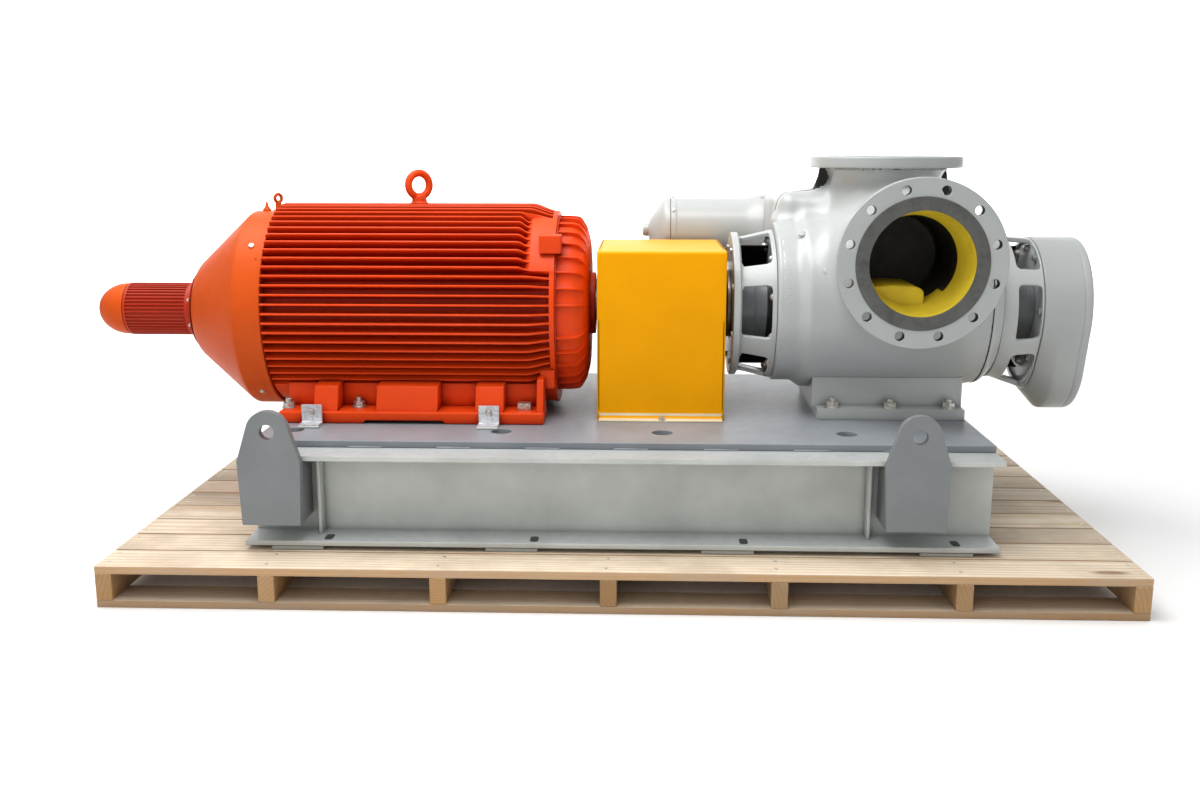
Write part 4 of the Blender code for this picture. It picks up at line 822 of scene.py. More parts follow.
class BuildEndShield(Operator):
    """Build the ribbed drive end shield with its bearing cap and bolts."""

    bl_idname = "pump_unit.end_shield"
    bl_label = "Ribbed end shield"

    def execute(self, context):
        """Two bell profiles turned about the shaft: the wall, and the ribs' tops where a rib stands."""
        rib = context.scene.motor_sizes.rib_height
        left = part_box("motor_drive_shield")[0].x
        outer = softened([(left + 0.004, 0.2358), (-0.018, 0.2357), (0.008, 0.2325), (0.0235, 0.2075),
                          (0.0334, 0.1722), (0.0353, 0.13), (0.0355, 0.1)],
                         [0, 0.006, 0.006, 0.004, 0.01, 0.01, 0], 5)
        inner = softened([(left + 0.004, 0.2358 - rib), (-0.022, 0.2355 - rib), (0.0, 0.2325 - rib),
                          (0.0225, 0.2045), (0.033, 0.1715), (0.0352, 0.13), (0.0355, 0.1)],
                         [0, 0.012, 0.012, 0.012, 0.012, 0.01, 0], 5)
        count, half_rib = 34, 0.0019
        local = np.array((-0.5, -half_rib - 0.004, -half_rib - 0.0012, -half_rib, half_rib, half_rib + 0.0012,
                          half_rib + 0.004)) / 0.236
        local[0] = -pi / count
        middle = (np.arange(count)[:, None] + 0.5) * tau / count
        turn = (middle + local[None, :]).reshape(-1)
        degrees = np.degrees((np.repeat(middle, len(local)) + pi) % tau - pi)
        height = np.tile((0, 0, 0.14, 1.0, 1.0, 0.14, 0), count)
        bare = (np.abs(degrees + 5.3) < 2.0) | (np.abs(np.abs(degrees) - 174.7) < 2.0)
        height = np.where(bare, 0, height)[None, :]
        bell = inner[..., None] + (outer - inner)[..., None] * height
        lead = [(left, 0), (left, 0.2358), (left + 0.0035, 0.2358)]
        tail = [(0.0355, 0.0835), (0.0465, 0.0835), (0.048, 0.082), (0.048, 0.04), (0.03, 0.0385), (0.03, 0)]
        plain = np.ones_like(height)
        bell = np.concatenate((np.array(lead)[..., None] * plain, bell, np.array(tail)[..., None] * plain))
        piece("motor_ribbed_shield", swept(bell[:, 0], bell[:, 1], turn, mirrored=True), "motor",
              "motor_drive_shield", smooth=34)
        piece("motor_shield_bolts", ring_of(bolt(0.0135), 0.0385, SHAFT, 0.066, 4, 45.0, RIGHTWARD), "screw")
        return {"FINISHED"}


class BuildLiftingEyes(Operator):
    """Build the motor's large eye bolt and the small eye on the hood."""

    bl_idname = "pump_unit.lifting_eyes"
    bl_label = "Lifting eyes"

    def execute(self, context):
        """Rings of round section on waisted stems."""
        piece("motor_eye_bolt", self.eye("motor_lifting_eye", 0.0412, 0.0098, 0.019, 39.0), "motor",
              "motor_lifting_eye")
        piece("hood_eye_bolt", self.eye("hood_lifting_eye", 0.015, 0.0044, 0.008, 52.0), "hood",
              "hood_lifting_eye")
        return {"FINISHED"}

    def eye(self, name, outer, wire, neck, turn_by):
        """A circle of wire carried round a ring, turned about Z, on a stout flared neck."""
        low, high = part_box(name)
        middle, centre_z, lean = (low.x + high.x) / 2, high.z - outer, radians(turn_by)
        t = np.linspace(0, tau, 56, endpoint=False)[:, None]
        u = np.linspace(0, tau, 18, endpoint=False)[None, :]
        reach = outer - wire + wire * np.cos(u)
        flat, across, rise = wire * np.sin(u) + 0 * t, reach * np.cos(t), reach * np.sin(t)
        ring = placed(flat * cos(lean) + across * sin(lean), across * cos(lean) - flat * sin(lean), rise, "Y",
                      (middle, 0, centre_z))
        top = centre_z - outer + wire * 1.6 - low.z
        stem = softened([(0, 0), (0, neck * 1.3), (top * 0.15, neck * 1.05), (top * 0.7, neck),
                         (top, wire * 1.6), (top, 0)], [0, 0.001, 0.004, 0.006, 0.004, 0], 5)
        return together(sheet(ring, True), turned(stem, (middle, 0, low.z), "Z", 32))


class BuildFanHood(Operator):
    """Build the sheet hood: a band and a cone, its rim, screws, breather and seam."""

    bl_idname = "pump_unit.fan_hood"
    bl_label = "Cone hood"

    def execute(self, context):
        """Circles whose radius and centre follow one softened line from the fan motor to the frame."""
        bend = context.scene.motor_sizes.hood_bend
        low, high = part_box("motor_fan_hood")
        hood_z = (low.z + high.z) / 2
        fan_low, fan_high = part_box("fan_motor_barrel")
        fan_z = (fan_low.z + fan_high.z) / 2
        small = (fan_high.z - fan_low.z) / 2 - 0.001
        big = (high.y - low.y) / 2
        corner = FRAME_LEFT - 0.074
        band = big - 0.0005
        lines = softened([(low.x - 0.0005, 0.0728), (low.x + 0.001, small - 0.01),
                          (low.x + 0.014, small + 0.014), (corner, band), (corner + 0.006, band),
                          (high.x - 0.012, band)], [0, 0.012, 0.008, bend, 0.002, 0], 6)
        rim = softened([(high.x - 0.011, band), (high.x - 0.01, big), (high.x - 0.001, big),
                        (high.x, big - 0.002), (high.x, big - 0.01)], 0.001, 3)
        profile = np.concatenate(([(low.x - 0.0005, 0)], lines, rim, [(high.x, 0)]))[:, :, None]
        share = np.clip((profile[:, 0] - low.x) / (corner - low.x), 0, 1)
        turn = np.linspace(0, tau, 160, endpoint=False)[None, :]
        centre_z = fan_z + (hood_z - fan_z) * share
        shell = swept(profile[:, 0], profile[:, 1], turn, ORIGIN)
        shell[0][:, 2] += np.repeat(centre_z[:, 0], turn.size)
        seam_x = np.linspace(low.x + 0.008, corner - 0.004, 40)
        share = (seam_x - low.x) / (corner - low.x)
        radius = small + (big - small) * share
        lap = radians(200.0)
        seam = np.stack((seam_x, -radius * cos(lap), fan_z + (hood_z - fan_z) * share + radius * sin(lap)),
                        axis=1)
        nipple = turned(softened([(-0.004, 0), (-0.004, 0.0115), (0.004, 0.011), (0.013, 0.0045),
                                  (0.024, 0.0026), (0.026, 0)], [0, 0, 0.002, 0.003, 0.001, 0], 3),
                        (FRAME_LEFT - 0.046, 0, hood_z + big - 0.001), "Z", 20)
        piece("motor_cone_hood", [shell, tube(seam, 0.0012, 8), nipple], "hood", "motor_fan_hood", smooth=30)

        def on_band(shape, place, *angles):
            """The shape on the band at each angle, standing out from it."""
            angles = np.radians(angles)
            way = np.stack((0 * angles, -np.cos(angles), np.sin(angles)), axis=1)
            return spread(shape, way * big + np.array((FRAME_LEFT - place, 0, hood_z)), way)

        around = (44.0, -50.8, 136.0, 230.8, 98.0)
        piece("hood_screws", [on_band(disc(0.0072, 0.0035, 0.002, 20), 0.0335, *around),
                              on_band(disc(0.0036, 0.0046, 0.001, 8), 0.0335, *around)], "screw")
        # A black disc on the band stands for the vent hole: painted shade.
        piece("hood_vent_hole", on_band(disc(0.0022, 0.0004, 0.001, 14), 0.016, 35.1), "rubber")
        return {"FINISHED"}


class BuildFanMotor(Operator):
    """Build the small ribbed fan motor, its flange and its domed end."""

    bl_idname = "pump_unit.fan_motor"
    bl_label = "Fan motor"

    def execute(self, context):
        """A cylinder whose radius rises on each rib, between plain end rings; then a half ellipse turned."""
        ribs = context.scene.motor_sizes.barrel_ribs
        low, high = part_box("fan_motor_barrel")
        centre = (0, 0, (low.z + high.z) / 2)
        flange = (high.z - low.z) / 2
        local = np.array((-0.5, -0.3, -0.17, -0.12, 0.12, 0.17, 0.3)) / ribs * tau
        turn = (np.arange(ribs)[:, None] * tau / ribs + local[None, :]).reshape(-1)[None, :]
        rise = np.tile((0, 0, 0.6, 1.0, 1.0, 0.6, 0), ribs)[None, :] * 0.0045
        span = (low.x, high.x)
        rows = np.array(measured(span, (
            (0, 0, 0), (0, 0, 0.068), (0.003, 0, 0.0716), (0.009, 0, 0.0716), (0.01, 1, 0.0672),
            (0.016, 1, 0.0672), (-0.034, 1, 0.0672), (-0.03, 1, 0.0672), (-0.029, 0, 0.0712),
            (-0.0125, 0, 0.0712))))
        ring = softened(measured(span, [(-0.0115, 0.0735), (-0.0085, 0.09), (-0.002, flange - 0.01),
                                        (-0.0, flange - 0.012), (-0.0, 0)]), [0, 0.006, 0.003, 0.001, 0], 5)
        along = np.concatenate((rows[:, :1], ring[:, :1]))
        radius = np.concatenate((rows[:, 2:] + rows[:, 1:2] * rise, ring[:, 1:] + 0 * turn))
        terminals = block((low.x + 0.062, low.x + 0.128), (0.06, 0.092), (centre[2] - 0.03, centre[2] + 0.03),
                          0.005, 0.003)
        piece("fan_motor_ribbed_barrel", [swept(along, radius, turn, centre), terminals], "barrel",
              "fan_motor_barrel", smooth=30)
        screws = ring_of(bolt(0.008), high.x - 0.009, centre, 0.0885, 8, 22.5)
        tip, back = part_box("fan_motor_dome")
        radius = (back.z - tip.z) / 2
        angle = np.linspace(0, pi / 2, 24)
        rest = back.x - 0.006
        dome = np.stack((rest - (rest - tip.x) * np.cos(angle), radius * np.sin(angle)), axis=1)
        profile = np.concatenate((dome, [(back.x, radius), (back.x, 0)]))
        piece("fan_motor_round_end", turned(profile, centre, sides=80), "hood", "fan_motor_dome")
        piece("fan_flange_screws", screws, "screw")
        return {"FINISHED"}


class BuildMotorFeet(Operator):
    """Build the feet and the terminal box, with foot bolts, lid screws and cable entries."""

    bl_idname = "pump_unit.motor_feet"
    bl_label = "Feet and terminal box"

    def execute(self, context):
        """Bolts copied to their places; the lid is a slab with rounded edges."""
        for side, name in ((-1, "motor_foot_front"), (1, "motor_foot_rear")):
            piece(name + "_cast", self.foot(side, *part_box(name)), "motor", name, weld=2e-5)
        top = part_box("motor_foot_front")[0].z + 0.03
        spots = [(x, side * y, top) for x, y in ((-0.745, 0.222), (-0.565, 0.206)) for side in (-1, 1)]
        piece("motor_foot_bolts", spread(bolt(0.028, stud=0.012), spots, spins=np.arange(4) * 0.4), "screw")
        pads = [block((-0.146, -0.112), (side * 0.222 - 0.016, side * 0.222 + 0.016),
                      (top - 0.001, top + 0.017), 0.0015, 0.001) for side in (-1, 1)]
        piece("motor_foot_square_washers", pads, "screw")
        low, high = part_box("motor_terminal_box")
        split = high.y - 0.022
        body = slab(rectangle((low.x + 0.003, high.x - 0.003), (low.z + 0.003, high.z - 0.003), 0.014, 5),
                    (low.y, split), "Y", 0.001)
        lid = slab(rectangle((low.x, high.x), (low.z, high.z), 0.016, 5), (split, high.y - 0.003), "Y", 0.004)
        ends = [(low.x + share * (high.x - low.x), (low.y + split) / 2, low.z + 0.004)
                for share in (0.3, 0.7)]
        entry = together(disc(0.021, 0.006, 0.002, 28), hexagon(0.03, 0.011))
        points, faces = spread(entry, ends, (0, 0, -1.0))
        points[:, 2] = np.maximum(points[:, 2], low.z - 0.012)
        piece("terminal_box_lid", [body, lid, (points, faces)], "motor", "motor_terminal_box")
        corners = [(x, high.y - 0.003, z) for x in (low.x + 0.014, high.x - 0.014)
                   for z in (low.z + 0.014, high.z - 0.014)]
        piece("terminal_box_screws", spread(bolt(0.009, washer=False), corners, (0, 1.0, 0)), "screw")
        return {"FINISHED"}

    def foot(self, side, low, high):
        """A flange whose underside rises in the middle, a wall up to the frame and four sloping gussets."""
        top = low.z + 0.03
        outline = rectangle(sorted((side * 0.15, side * 0.275)), (low.z, top), 0.0035, 3)
        lift = np.array((0, 0, 0, 0, 0.008, 0.008, 0, 0, 0, 0))[:, None]
        rings = np.repeat(outline[None], len(lift), axis=0)
        rings[..., 1] += lift * (rings[..., 1] < low.z + 0.015)
        rings[1] = rings[-2] = inset(outline, 0.0015)
        rings[0] = rings[-1] = outline.mean(0)
        x = (low.x, low.x, low.x + 0.0015, -0.542, -0.534, -0.336, -0.328, high.x - 0.0015, high.x, high.x)
        wall = block((low.x + 0.004, high.x - 0.004), (side * 0.153, side * 0.187), (top - 0.001, top + 0.06))
        shells = [sheet(stacked(rings, x)), wall]
        for start, end, rise in ((-0.671, -0.609, 0.062), (-0.509, -0.35, 0.062), (-0.253, -0.18, 0.062),
                                 (-0.095, -0.0775, 0.08)):
            gusset = [(side * 0.158, top - 0.001), (side * 0.263, top - 0.001), (side * 0.24, top + rise),
                      (side * 0.17, top + rise + 0.008)]
            gusset = softened(gusset, [0.001, 0.001, 0.004, 0.001], closed=True)
            shells.append(slab(gusset, (start, end), "X", 0.0025))
        return shells


class BuildJackingScrews(Operator):
    """Finish the angle brackets and build their jacking screws and the weld beads along their feet."""

    bl_idname = "pump_unit.jacking_screws"
    bl_label = "Jacking screws"

    def execute(self, context):
        """A screw along Y through each bracket, with a hexagon head outside, and a bead along its foot."""
        shells, beads = [], []
        for side, place in ((-1, "front_left"), (-1, "front_right"), (1, "rear_left"), (1, "rear_right")):
            name = "jacking_bracket_" + place
            dress(name, "zinc", 0.001)
            low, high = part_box(name)
            for shape, out in ((hexagon(0.015, 0.009), 0.291), (disc(0.005, 0.0155, 0, 18), 0.2755)):
                spot = ((low.x + high.x) / 2, side * out, low.z + 0.034)
                shells.append(spread(shape, [spot], (0, side, 0)))
            beads.append(bead((low.x - 0.002, side * 0.328, PLATE_TOP + 0.002), high.x - low.x + 0.004,
                              0.0036, 0.25))
        piece("jacking_screws", shells, "screw")
        piece("bracket_weld_beads", beads, "weld")
        return {"FINISHED"}


# The coupling

class BuildShaftLine(Operator):
    """Build the shafts, the coupling hubs with their disc packs and the spacer, which all turn together."""

    bl_idname = "pump_unit.shaft_line"
    bl_label = "Shaft line"

    def execute(self, context):
        """Profiles turned about the shaft: each is a list of places on it with the radius there."""
        key = block((0.05, 0.0693), (-0.01, 0.01), (SHAFT_Z + 0.03, SHAFT_Z + 0.0385), 0.002, 0.001)
        self.part("motor_shaft", [(0, 0), (0, 1), (-0.0015, 1), (-0.0002, 0.96), (-0.0, 0)], 0.0015, key)
        hub = [(0, 0), (0, 0.66), (0.062, 0.68), (0.066, 0.99), (-0.012, 1), (-0.008, 0.9), (-0.0001, 0.9),
               (-0.0, 0)]
        back = [(0, 0), (0, 0.9), (0.008, 0.9), (0.012, 1), (-0.066, 0.99), (-0.062, 0.68), (-0.0001, 0.66),
                (-0.0, 0)]
        for name, corners, face, way in (("motor_coupling_hub", hub, 1, 1),
                                         ("pump_coupling_hub", back, 0, -1)):
            ring = ring_of(bolt(0.013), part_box(name)[face].x - way * 0.0275, SHAFT, 0.076, 8, 10.0,
                           (-way, 0, 0))
            self.part(name, corners, 0.002)
            piece(name + "_bolts", ring, "screw", body="drive_shaft")
        self.part("coupling_spacer", [(0, 0), (0, 1), (0.008, 1), (0.01, 0.8), (-0.01, 0.8), (-0.008, 1),
                                      (-0.0001, 1), (-0.0, 0)], 0.0015)
        self.part("pump_shaft", [(0, 0), (0, 1), (0.03, 1), (-0.001, 1), (-0.0, 0)], 0.0015)
        return {"FINISHED"}

    def part(self, name, corners, soft, *more):
        """One turned part of the line; its corners' radii are shares of the node's own radius."""
        low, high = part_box(name)
        radius = (high.z - low.z) / 2
        corners = [(place, radius * share) for place, share in corners]
        shell = lathe((low.x, high.x), corners, [0, *[soft] * (len(corners) - 2), 0], 3)
        piece(name + "_turned", [shell, *more], "shaft", name, body="drive_shaft")


class BuildGuard(Operator):
    """Build the folded coupling guard with its rounded bends, shaft slots, lips and screws."""

    bl_idname = "pump_unit.guard"
    bl_label = "Coupling guard"

    def execute(self, context):
        """A folded line carried along X for the wrap, and each end sheet as a grid from slot to fold."""
        low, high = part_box("coupling_guard")
        half, lip, thick, bend, lean = 0.208, 0.022, 0.003, 0.01, 0.0009
        bottom, top, fold = low.z, high.z, high.z - 0.175

        def folded(depth):
            """The wrap's line from lip to lip, at a depth under its outer face; its halves are mirrored."""
            side = np.array([(-half - lip, bottom + thick - depth), (-half + depth, bottom + thick - depth),
                             (-half + depth, fold), (-half + lean + depth, top - depth)])
            soft = [0, 0.014 + depth, 0.003, bend - depth]
            return softened(np.concatenate((side, side[::-1] * (-1, 1))), soft + soft[::-1], 6)

        outer, inner = folded(0), folded(thick)
        ring = np.concatenate((outer, inner[::-1]))
        x = (low.x + 0.004, low.x + 0.006, high.x - 0.006, high.x - 0.004)
        shells = [sheet(stacked(np.array([ring] * 4), x))]
        for place in (x[0], x[-1]):
            shells.append(sheet(stacked(np.array((outer, inner)), (place, place)), close_columns=False))
        for face, inward in ((low.x, 1), (high.x, -1)):
            shells.append(self.end_sheet(face, inward, half, bottom, top, thick, bend))
        piece("coupling_guard_folded", shells, "guard", "coupling_guard", weld=2e-5)
        # The lip strips over the guard's bottom edge and its outward bend are pale cream: a painted highlight
        # where the bend catches the light from above.
        shelf = softened([(lip + 0.0004, 0.0002), (lip + 0.0004, 0.0038), (0.0006, 0.0038), (0.0006, 0.0185),
                          (-0.0006, 0.0185), (-0.0006, 0.0002)],
                         [0.0006, 0.001, 0.012, 0.0003, 0.0003, 0.0006], 5, closed=True) + (half, bottom)
        edge = [slab(shelf * (side, 1.0), (low.x + 0.005, high.x - 0.005), "X", 0.0003, 1)
                for side in (-1, 1)]
        piece("guard_lip_edges", edge, "guard_lip_highlight")
        spots = [((low.x + high.x) / 2 + 0.004, side * (half + lip * 0.62), bottom + 0.0042)
                 for side in (-1, 1)]
        piece("guard_screws", spread(bolt(0.014), spots, spins=0.5), "screw")
        return {"FINISHED"}

    def end_sheet(self, face, inward, half, bottom, top, thick, bend):
        """One end: from the shaft slot's edge straight out to the rounded rectangle, front and back."""
        slot, round_by = 0.06, 0.0035
        rise = np.linspace(bottom, SHAFT_Z, 26)[:-1]
        arc = np.linspace(0, pi, 60)
        inner_edge = np.stack((
            (*[slot] * len(rise), *slot * np.cos(arc), *[-slot] * len(rise)),
            (*rise, *SHAFT_Z + slot * np.sin(arc), *rise[::-1])), axis=1)
        wide, high = half - round_by, top - round_by
        path = softened([(slot, bottom), (wide, bottom), (wide, high), (-wide, high), (-wide, bottom),
                         (-slot, bottom)], [0, 0.0005, bend - 0.003, bend - 0.003, 0.0005, 0], 6)
        run = run_along(path)
        even = np.linspace(0, run[-1], len(inner_edge))
        even[np.abs(even[:, None] - run[None, :]).argmin(axis=0)] = run
        edge = np.stack((np.interp(even, run, path[:, 0]), np.interp(even, run, path[:, 1])), axis=1)
        normal = np.gradient(edge, axis=0)
        normal /= np.linalg.norm(normal, axis=1, keepdims=True) + 1e-12
        out = np.stack((normal[:, 1], -normal[:, 0]), axis=1) * round_by
        out[edge[:, 1] <= bottom + 1e-6] = 0
        rows = [(inner_edge, 0)]
        rows += [(edge + out * sin(turn), round_by * (1 - cos(turn))) for turn in np.linspace(0, pi / 2, 5)]
        rows += [(edge + out, 0.0062), (edge, 0.0062), (edge, thick), (inner_edge, thick)]
        grid = stacked(np.array([points for points, _ in rows]), [face + inward * depth for _, depth in rows])
        return sheet(grid, close_rows=True, close_columns=False)


# The pump

def smooth_union(first, second, reach):
    """Two distance fields joined with a fillet: the lesser, less a parabola where they are within reach."""
    share = np.clip(0.5 + 0.5 * (second - first) / reach, 0, 1)
    return second * (1 - share) + first * share - reach * share * (1 - share)


def skin(field, low, high, cell):
    """The surface where a distance field is nought: one point in each cell of a grid that it crosses.

    The point starts as the mean of where the field changes sign on the cell's edges, and is then moved
    three times down the field's slope by the field's value. Each grid edge that crosses makes a quad of
    the four cells round it.
    """
    axes = [np.arange(a, b + cell, cell) for a, b in zip(low, high)]
    value = field(*np.meshgrid(*axes, indexing="ij"))
    shape = tuple(size - 1 for size in value.shape)
    total, count, number = np.zeros(shape + (3,)), np.zeros(shape), np.full(shape, -1)
    quads = []
    for axis in range(3):
        sides = [other for other in range(3) if other != axis]
        first, second = np.moveaxis(value, axis, 0)[:-1], np.moveaxis(value, axis, 0)[1:]
        crossing = (first < 0) != (second < 0)
        crossing[:, [0, -1]] = False
        crossing[:, :, [0, -1]] = False
        spot = np.argwhere(crossing)
        a, b = first[crossing], second[crossing]
        place = np.zeros((len(spot), 3))
        place[:, axis] = axes[axis][spot[:, 0]] + cell * a / (a - b)
        place[:, sides] = np.stack([axes[side][spot[:, turn]] for turn, side in enumerate(sides, 1)], axis=1)
        cells = []
        for shift in ((-1, -1), (0, -1), (0, 0), (-1, 0)):
            index = np.zeros((len(spot), 3), int)
            index[:, axis] = spot[:, 0]
            index[:, sides] = spot[:, 1:] + shift
            flat = np.ravel_multi_index(index.T, shape)
            np.add.at(total.reshape(-1, 3), flat, place)
            np.add.at(count.reshape(-1), flat, 1)
            cells.append(flat)
        quads.append(np.stack(cells, axis=1))
    used = np.flatnonzero(count.reshape(-1))
    number.reshape(-1)[used] = np.arange(len(used))
    points = total.reshape(-1, 3)[used] / count.reshape(-1)[used][:, None]
    small = cell * 0.1
    for _ in range(3):
        slope = np.stack([(field(*(points + small * axis).T)
                           - field(*(points - small * axis).T)) / (2 * small) for axis in np.eye(3)], axis=1)
        steep = np.maximum((slope ** 2).sum(axis=1), 0.25)
        move = slope * (field(*points.T) / steep)[:, None]
        points = points - np.clip(move, -cell * 0.6, cell * 0.6)
    return points, number.reshape(-1)[np.concatenate(quads)]


def casing_field(x, y, z, reach):
    """Distance to the casting: barrel, necks, relief passage and ribs joined with fillets, less the bores."""
    def beyond(value, low, high):
        """How far a value lies outside two limits, and less than nought between them."""
        return np.maximum(low - value, value - high)

    def cut_by(radial, flat, soft):
        """What two fields have in common, with a quarter round of radius soft where they meet."""
        corner = np.sqrt(np.maximum(radial + soft, 0) ** 2 + np.maximum(flat + soft, 0) ** 2)
        return np.minimum(np.maximum(radial, flat) + soft, 0) + corner - soft

    barrel = 0.2152 + 0.0165 * step_up(x, 0.57, 0.603) - 0.012 * step_up(x, 0.985, 1.062)
    ends = beyond(x, CASING_LOW.x + 0.0002, CASING_HIGH.x - 0.0002)
    shape = cut_by(np.hypot(y, z - CASING_Z) - barrel, ends, 0.003)
    side = np.hypot(x - SUCTION[0], z - (SUCTION[2] - 0.012 * step_up(y, -0.372, -0.2)))
    neck = 0.16 + 0.035 * np.clip((y + 0.37) / 0.31, 0, 1) + 0.003 * np.exp(-np.clip(y + 0.372, 0, 1) / 0.006)
    shape = smooth_union(shape, cut_by(side - neck, beyond(y, -0.3735, -0.06), 0.001), reach * 1.7)
    up = np.hypot(x - DISCHARGE[0], y)
    foot = DISCHARGE[2] - 0.029
    riser = 0.142 + 0.022 * np.exp(-np.clip(foot - z, 0, 1) / 0.011)
    shape = smooth_union(shape, cut_by(up - riser, beyond(z, CASING_Z, foot + 0.0012), 0.001), reach * 1.3)
    chamber = cut_by(np.hypot(y - 0.15, z - 0.773) - 0.157, beyond(x, 0.602, 0.899), 0.034)
    share = np.clip((x - 0.594) / 0.096, 0, 1)
    passage = np.hypot(y - (RELIEF_Y - 0.165 * share),
                       z - (RELIEF_Z - 0.035 * share)) - (0.105 + 0.051 * share)
    passage = cut_by(passage, beyond(x, 0.59, 0.7), 0.004)
    shape = smooth_union(shape, smooth_union(chamber, passage, 0.06), reach * 2.4)
    inlet = cut_by(np.hypot(y - RELIEF_Y, z - RELIEF_Z) - 0.1052, beyond(x, 0.5302, 0.606), 0.0005)
    shape = smooth_union(shape, inlet, 0.012)
    round_by = 0.036
    away = [np.abs(place - middle) - half + round_by for place, middle, half in
            ((x, 0.68, 0.146), (y, 0.115, 0.145), (z, 0.78, 0.149))]
    corner = sum(np.maximum(side, 0) ** 2 for side in away) ** 0.5
    shoulder = np.minimum(np.maximum(np.maximum(away[0], away[1]), away[2]), 0) + corner - round_by
    shape = smooth_union(shape, shoulder, reach * 1.5)
    flat = np.maximum(np.abs(y - RIB_Y) - 0.008, np.abs(x - RIB_X)
                      - (0.168 + 0.016 * step_up(0.99 - z, 0, 0.07)))
    shape = smooth_union(shape, cut_by(flat, beyond(z, CASING_Z + 0.15, foot + 0.001), 0.003), 0.006)
    bore = 0.1265 - 0.02 * np.clip((y + 0.342) / 0.08, 0, 1)
    hole = np.maximum(np.hypot(x - SUCTION[0], z - SUCTION[2]) - bore, y - 0.05)
    outlet = np.maximum(up - 0.1205, 0.79 - z)
    return np.maximum(np.maximum(shape, -hole), -outlet)


class BuildCasing(Operator):
    """Build the cast pump casing with its suction and discharge flanges and what shows inside."""

    bl_idname = "pump_unit.casing"
    bl_label = "Pump casing"

    def execute(self, context):
        """The casting is the skin of a distance field; the flanges are turned and drilled rings on it."""
        sizes = context.scene.pump_sizes
        shell = skin(lambda x, y, z: casing_field(x, y, z, sizes.fillet),
                     (CASING_LOW.x - 0.03, -0.385, CASING_Z - 0.245),
                     (CASING_HIGH.x + 0.015, 0.435, DISCHARGE[2] - 0.015), sizes.grain)

        def inner_side(middles):
            """Primer in both bores, and black on the rib beside the discharge neck as painted shade."""
            x, y, z = middles.T
            bore = (np.hypot(x - SUCTION[0], z - SUCTION[2]) < 0.1285) & (y < 0.06) & (y > -0.38)
            outlet = (np.hypot(x - DISCHARGE[0], y) < 0.1225) & (z > 0.775)
            rib = (np.abs(y - RIB_Y) < 0.0095) & (np.abs(x - RIB_X) > 0.1435)
            rib &= (z > CASING_Z + 0.236) & (z < DISCHARGE[2] - 0.028)
            return np.where(rib, 2, bore | outlet)

        piece("pump_casting", shell, "pump primer rubber", "pump_casing", smooth=50, weld=1e-6,
              pick=inner_side)
        self.suction(sizes.flange_soft)
        self.discharge(sizes.flange_soft * 2)
        self.inside()
        return {"FINISHED"}

    def flange(self, span, bore, rim, circle, hole, lining, deep, soft, axis, centre):
        """Drilled sectors between bore and rim, then the rim's edge and the lining of the bore."""
        inner, outer = lining
        edge = [(0, rim - soft), (0, rim), (-0.0, rim), (-0.0, rim - soft)]
        wall = [(0, outer), (0, inner), (-0.0, inner), (-0.0, outer)]
        return [drilled_ring(bore, rim - soft, span, circle, hole, axis, centre),
                lathe(span, edge, soft, 5, centre, axis, 144),
                lathe((span[0], deep), wall, 0.001, 2, centre, axis, 144)]

    def suction(self, soft):
        """The front flange, and its raised face with the grooves that seal it."""
        front, back = SUCTION[1], SUCTION[1] + 0.03
        centre, circle = (SUCTION[0], 0, SUCTION[2]), 0.1775
        ring = self.flange((front + 0.002, back), 0.15, 0.2025, circle, 0.0115, (0.1265, 0.1505),
                           back + 0.001, soft, "Y", centre)
        holes, _ = ring_places(centre, circle, 12, "Y", 15.0)

        def bored(middles):
            """Dark inside the bolt holes."""
            gap = np.hypot(middles[:, None, 0] - holes[None, :, 0], middles[:, None, 2] - holes[None, :, 2])
            return (gap.min(axis=1) < 0.0118) & (middles[:, 1] > front + 0.0032)

        piece("suction_flange_ring", ring, "flange dark", weld=2e-5, pick=bored)
        at_face = (front, front)
        raised = [(0.003, 0.158), (0, 0.158), (0, 0.1255), (0.003, 0.1255)]
        shells = [lathe(at_face, raised, [0, 0.0008, 0.0015, 0], 3, centre, "Y", 144)]
        for groove in np.arange(0.13, 0.156, 0.0032):
            ridge = [(0.0002, groove - 0.0007), (-0.00012, groove), (0.0002, groove + 0.0007)]
            shells.append(lathe(at_face, ridge, 0.0002, 2, centre, "Y", 144))
        piece("suction_sealing_face", shells, "sealing_face")

    def discharge(self, soft):
        """The top flange, made as the suction flange is."""
        face, back, centre = DISCHARGE[2], DISCHARGE[2] - 0.029, (DISCHARGE[0], 0, 0)
        ring = self.flange((face, back), 0.1225, 0.1975, 0.175, 0.0105, (0.1205, 0.1235), back, soft, "Z",
                           centre)
        piece("discharge_flange_ring", ring, "flange", weld=2e-5)
        raised = [(-0.002, 0.152), (0, 0.152), (0, 0.1225), (-0.002, 0.1225)]
        piece("discharge_sealing_face", lathe((face, face), raised, [0, 0.0006, 0.0012, 0], 3, centre, "Z",
                                              144), "sealing_face")

    def inside(self):
        """Inside the suction bore: a cup whose radius follows the cored passage, and a shelf low in it."""
        start = SUCTION[1] + 0.0025
        cup = [(0, 0.1258), (0.05, 0.125), (0.085, 0.117), (0.135, 0.1048), (0.29, 0.1048), (0.3, 0.098),
               (0.3, 0), (0.306, 0), (0.306, 0.1052), (0.135, 0.1056), (0.085, 0.1182), (0.05, 0.1262),
               (0, 0.1262)]
        cup = softened(cup, [0, 0.004, 0.02, 0.02, 0.004, 0.004, 0, 0, 0, 0.02, 0.02, 0, 0])

        def deep(middles):
            """Near black painted shade at the far end, and higher up from nearer on."""
            y, z = middles[:, 1], middles[:, 2]
            return ((y > start + 0.112) & (z >= SUCTION[2] - 0.075)) | (y > start + 0.2)

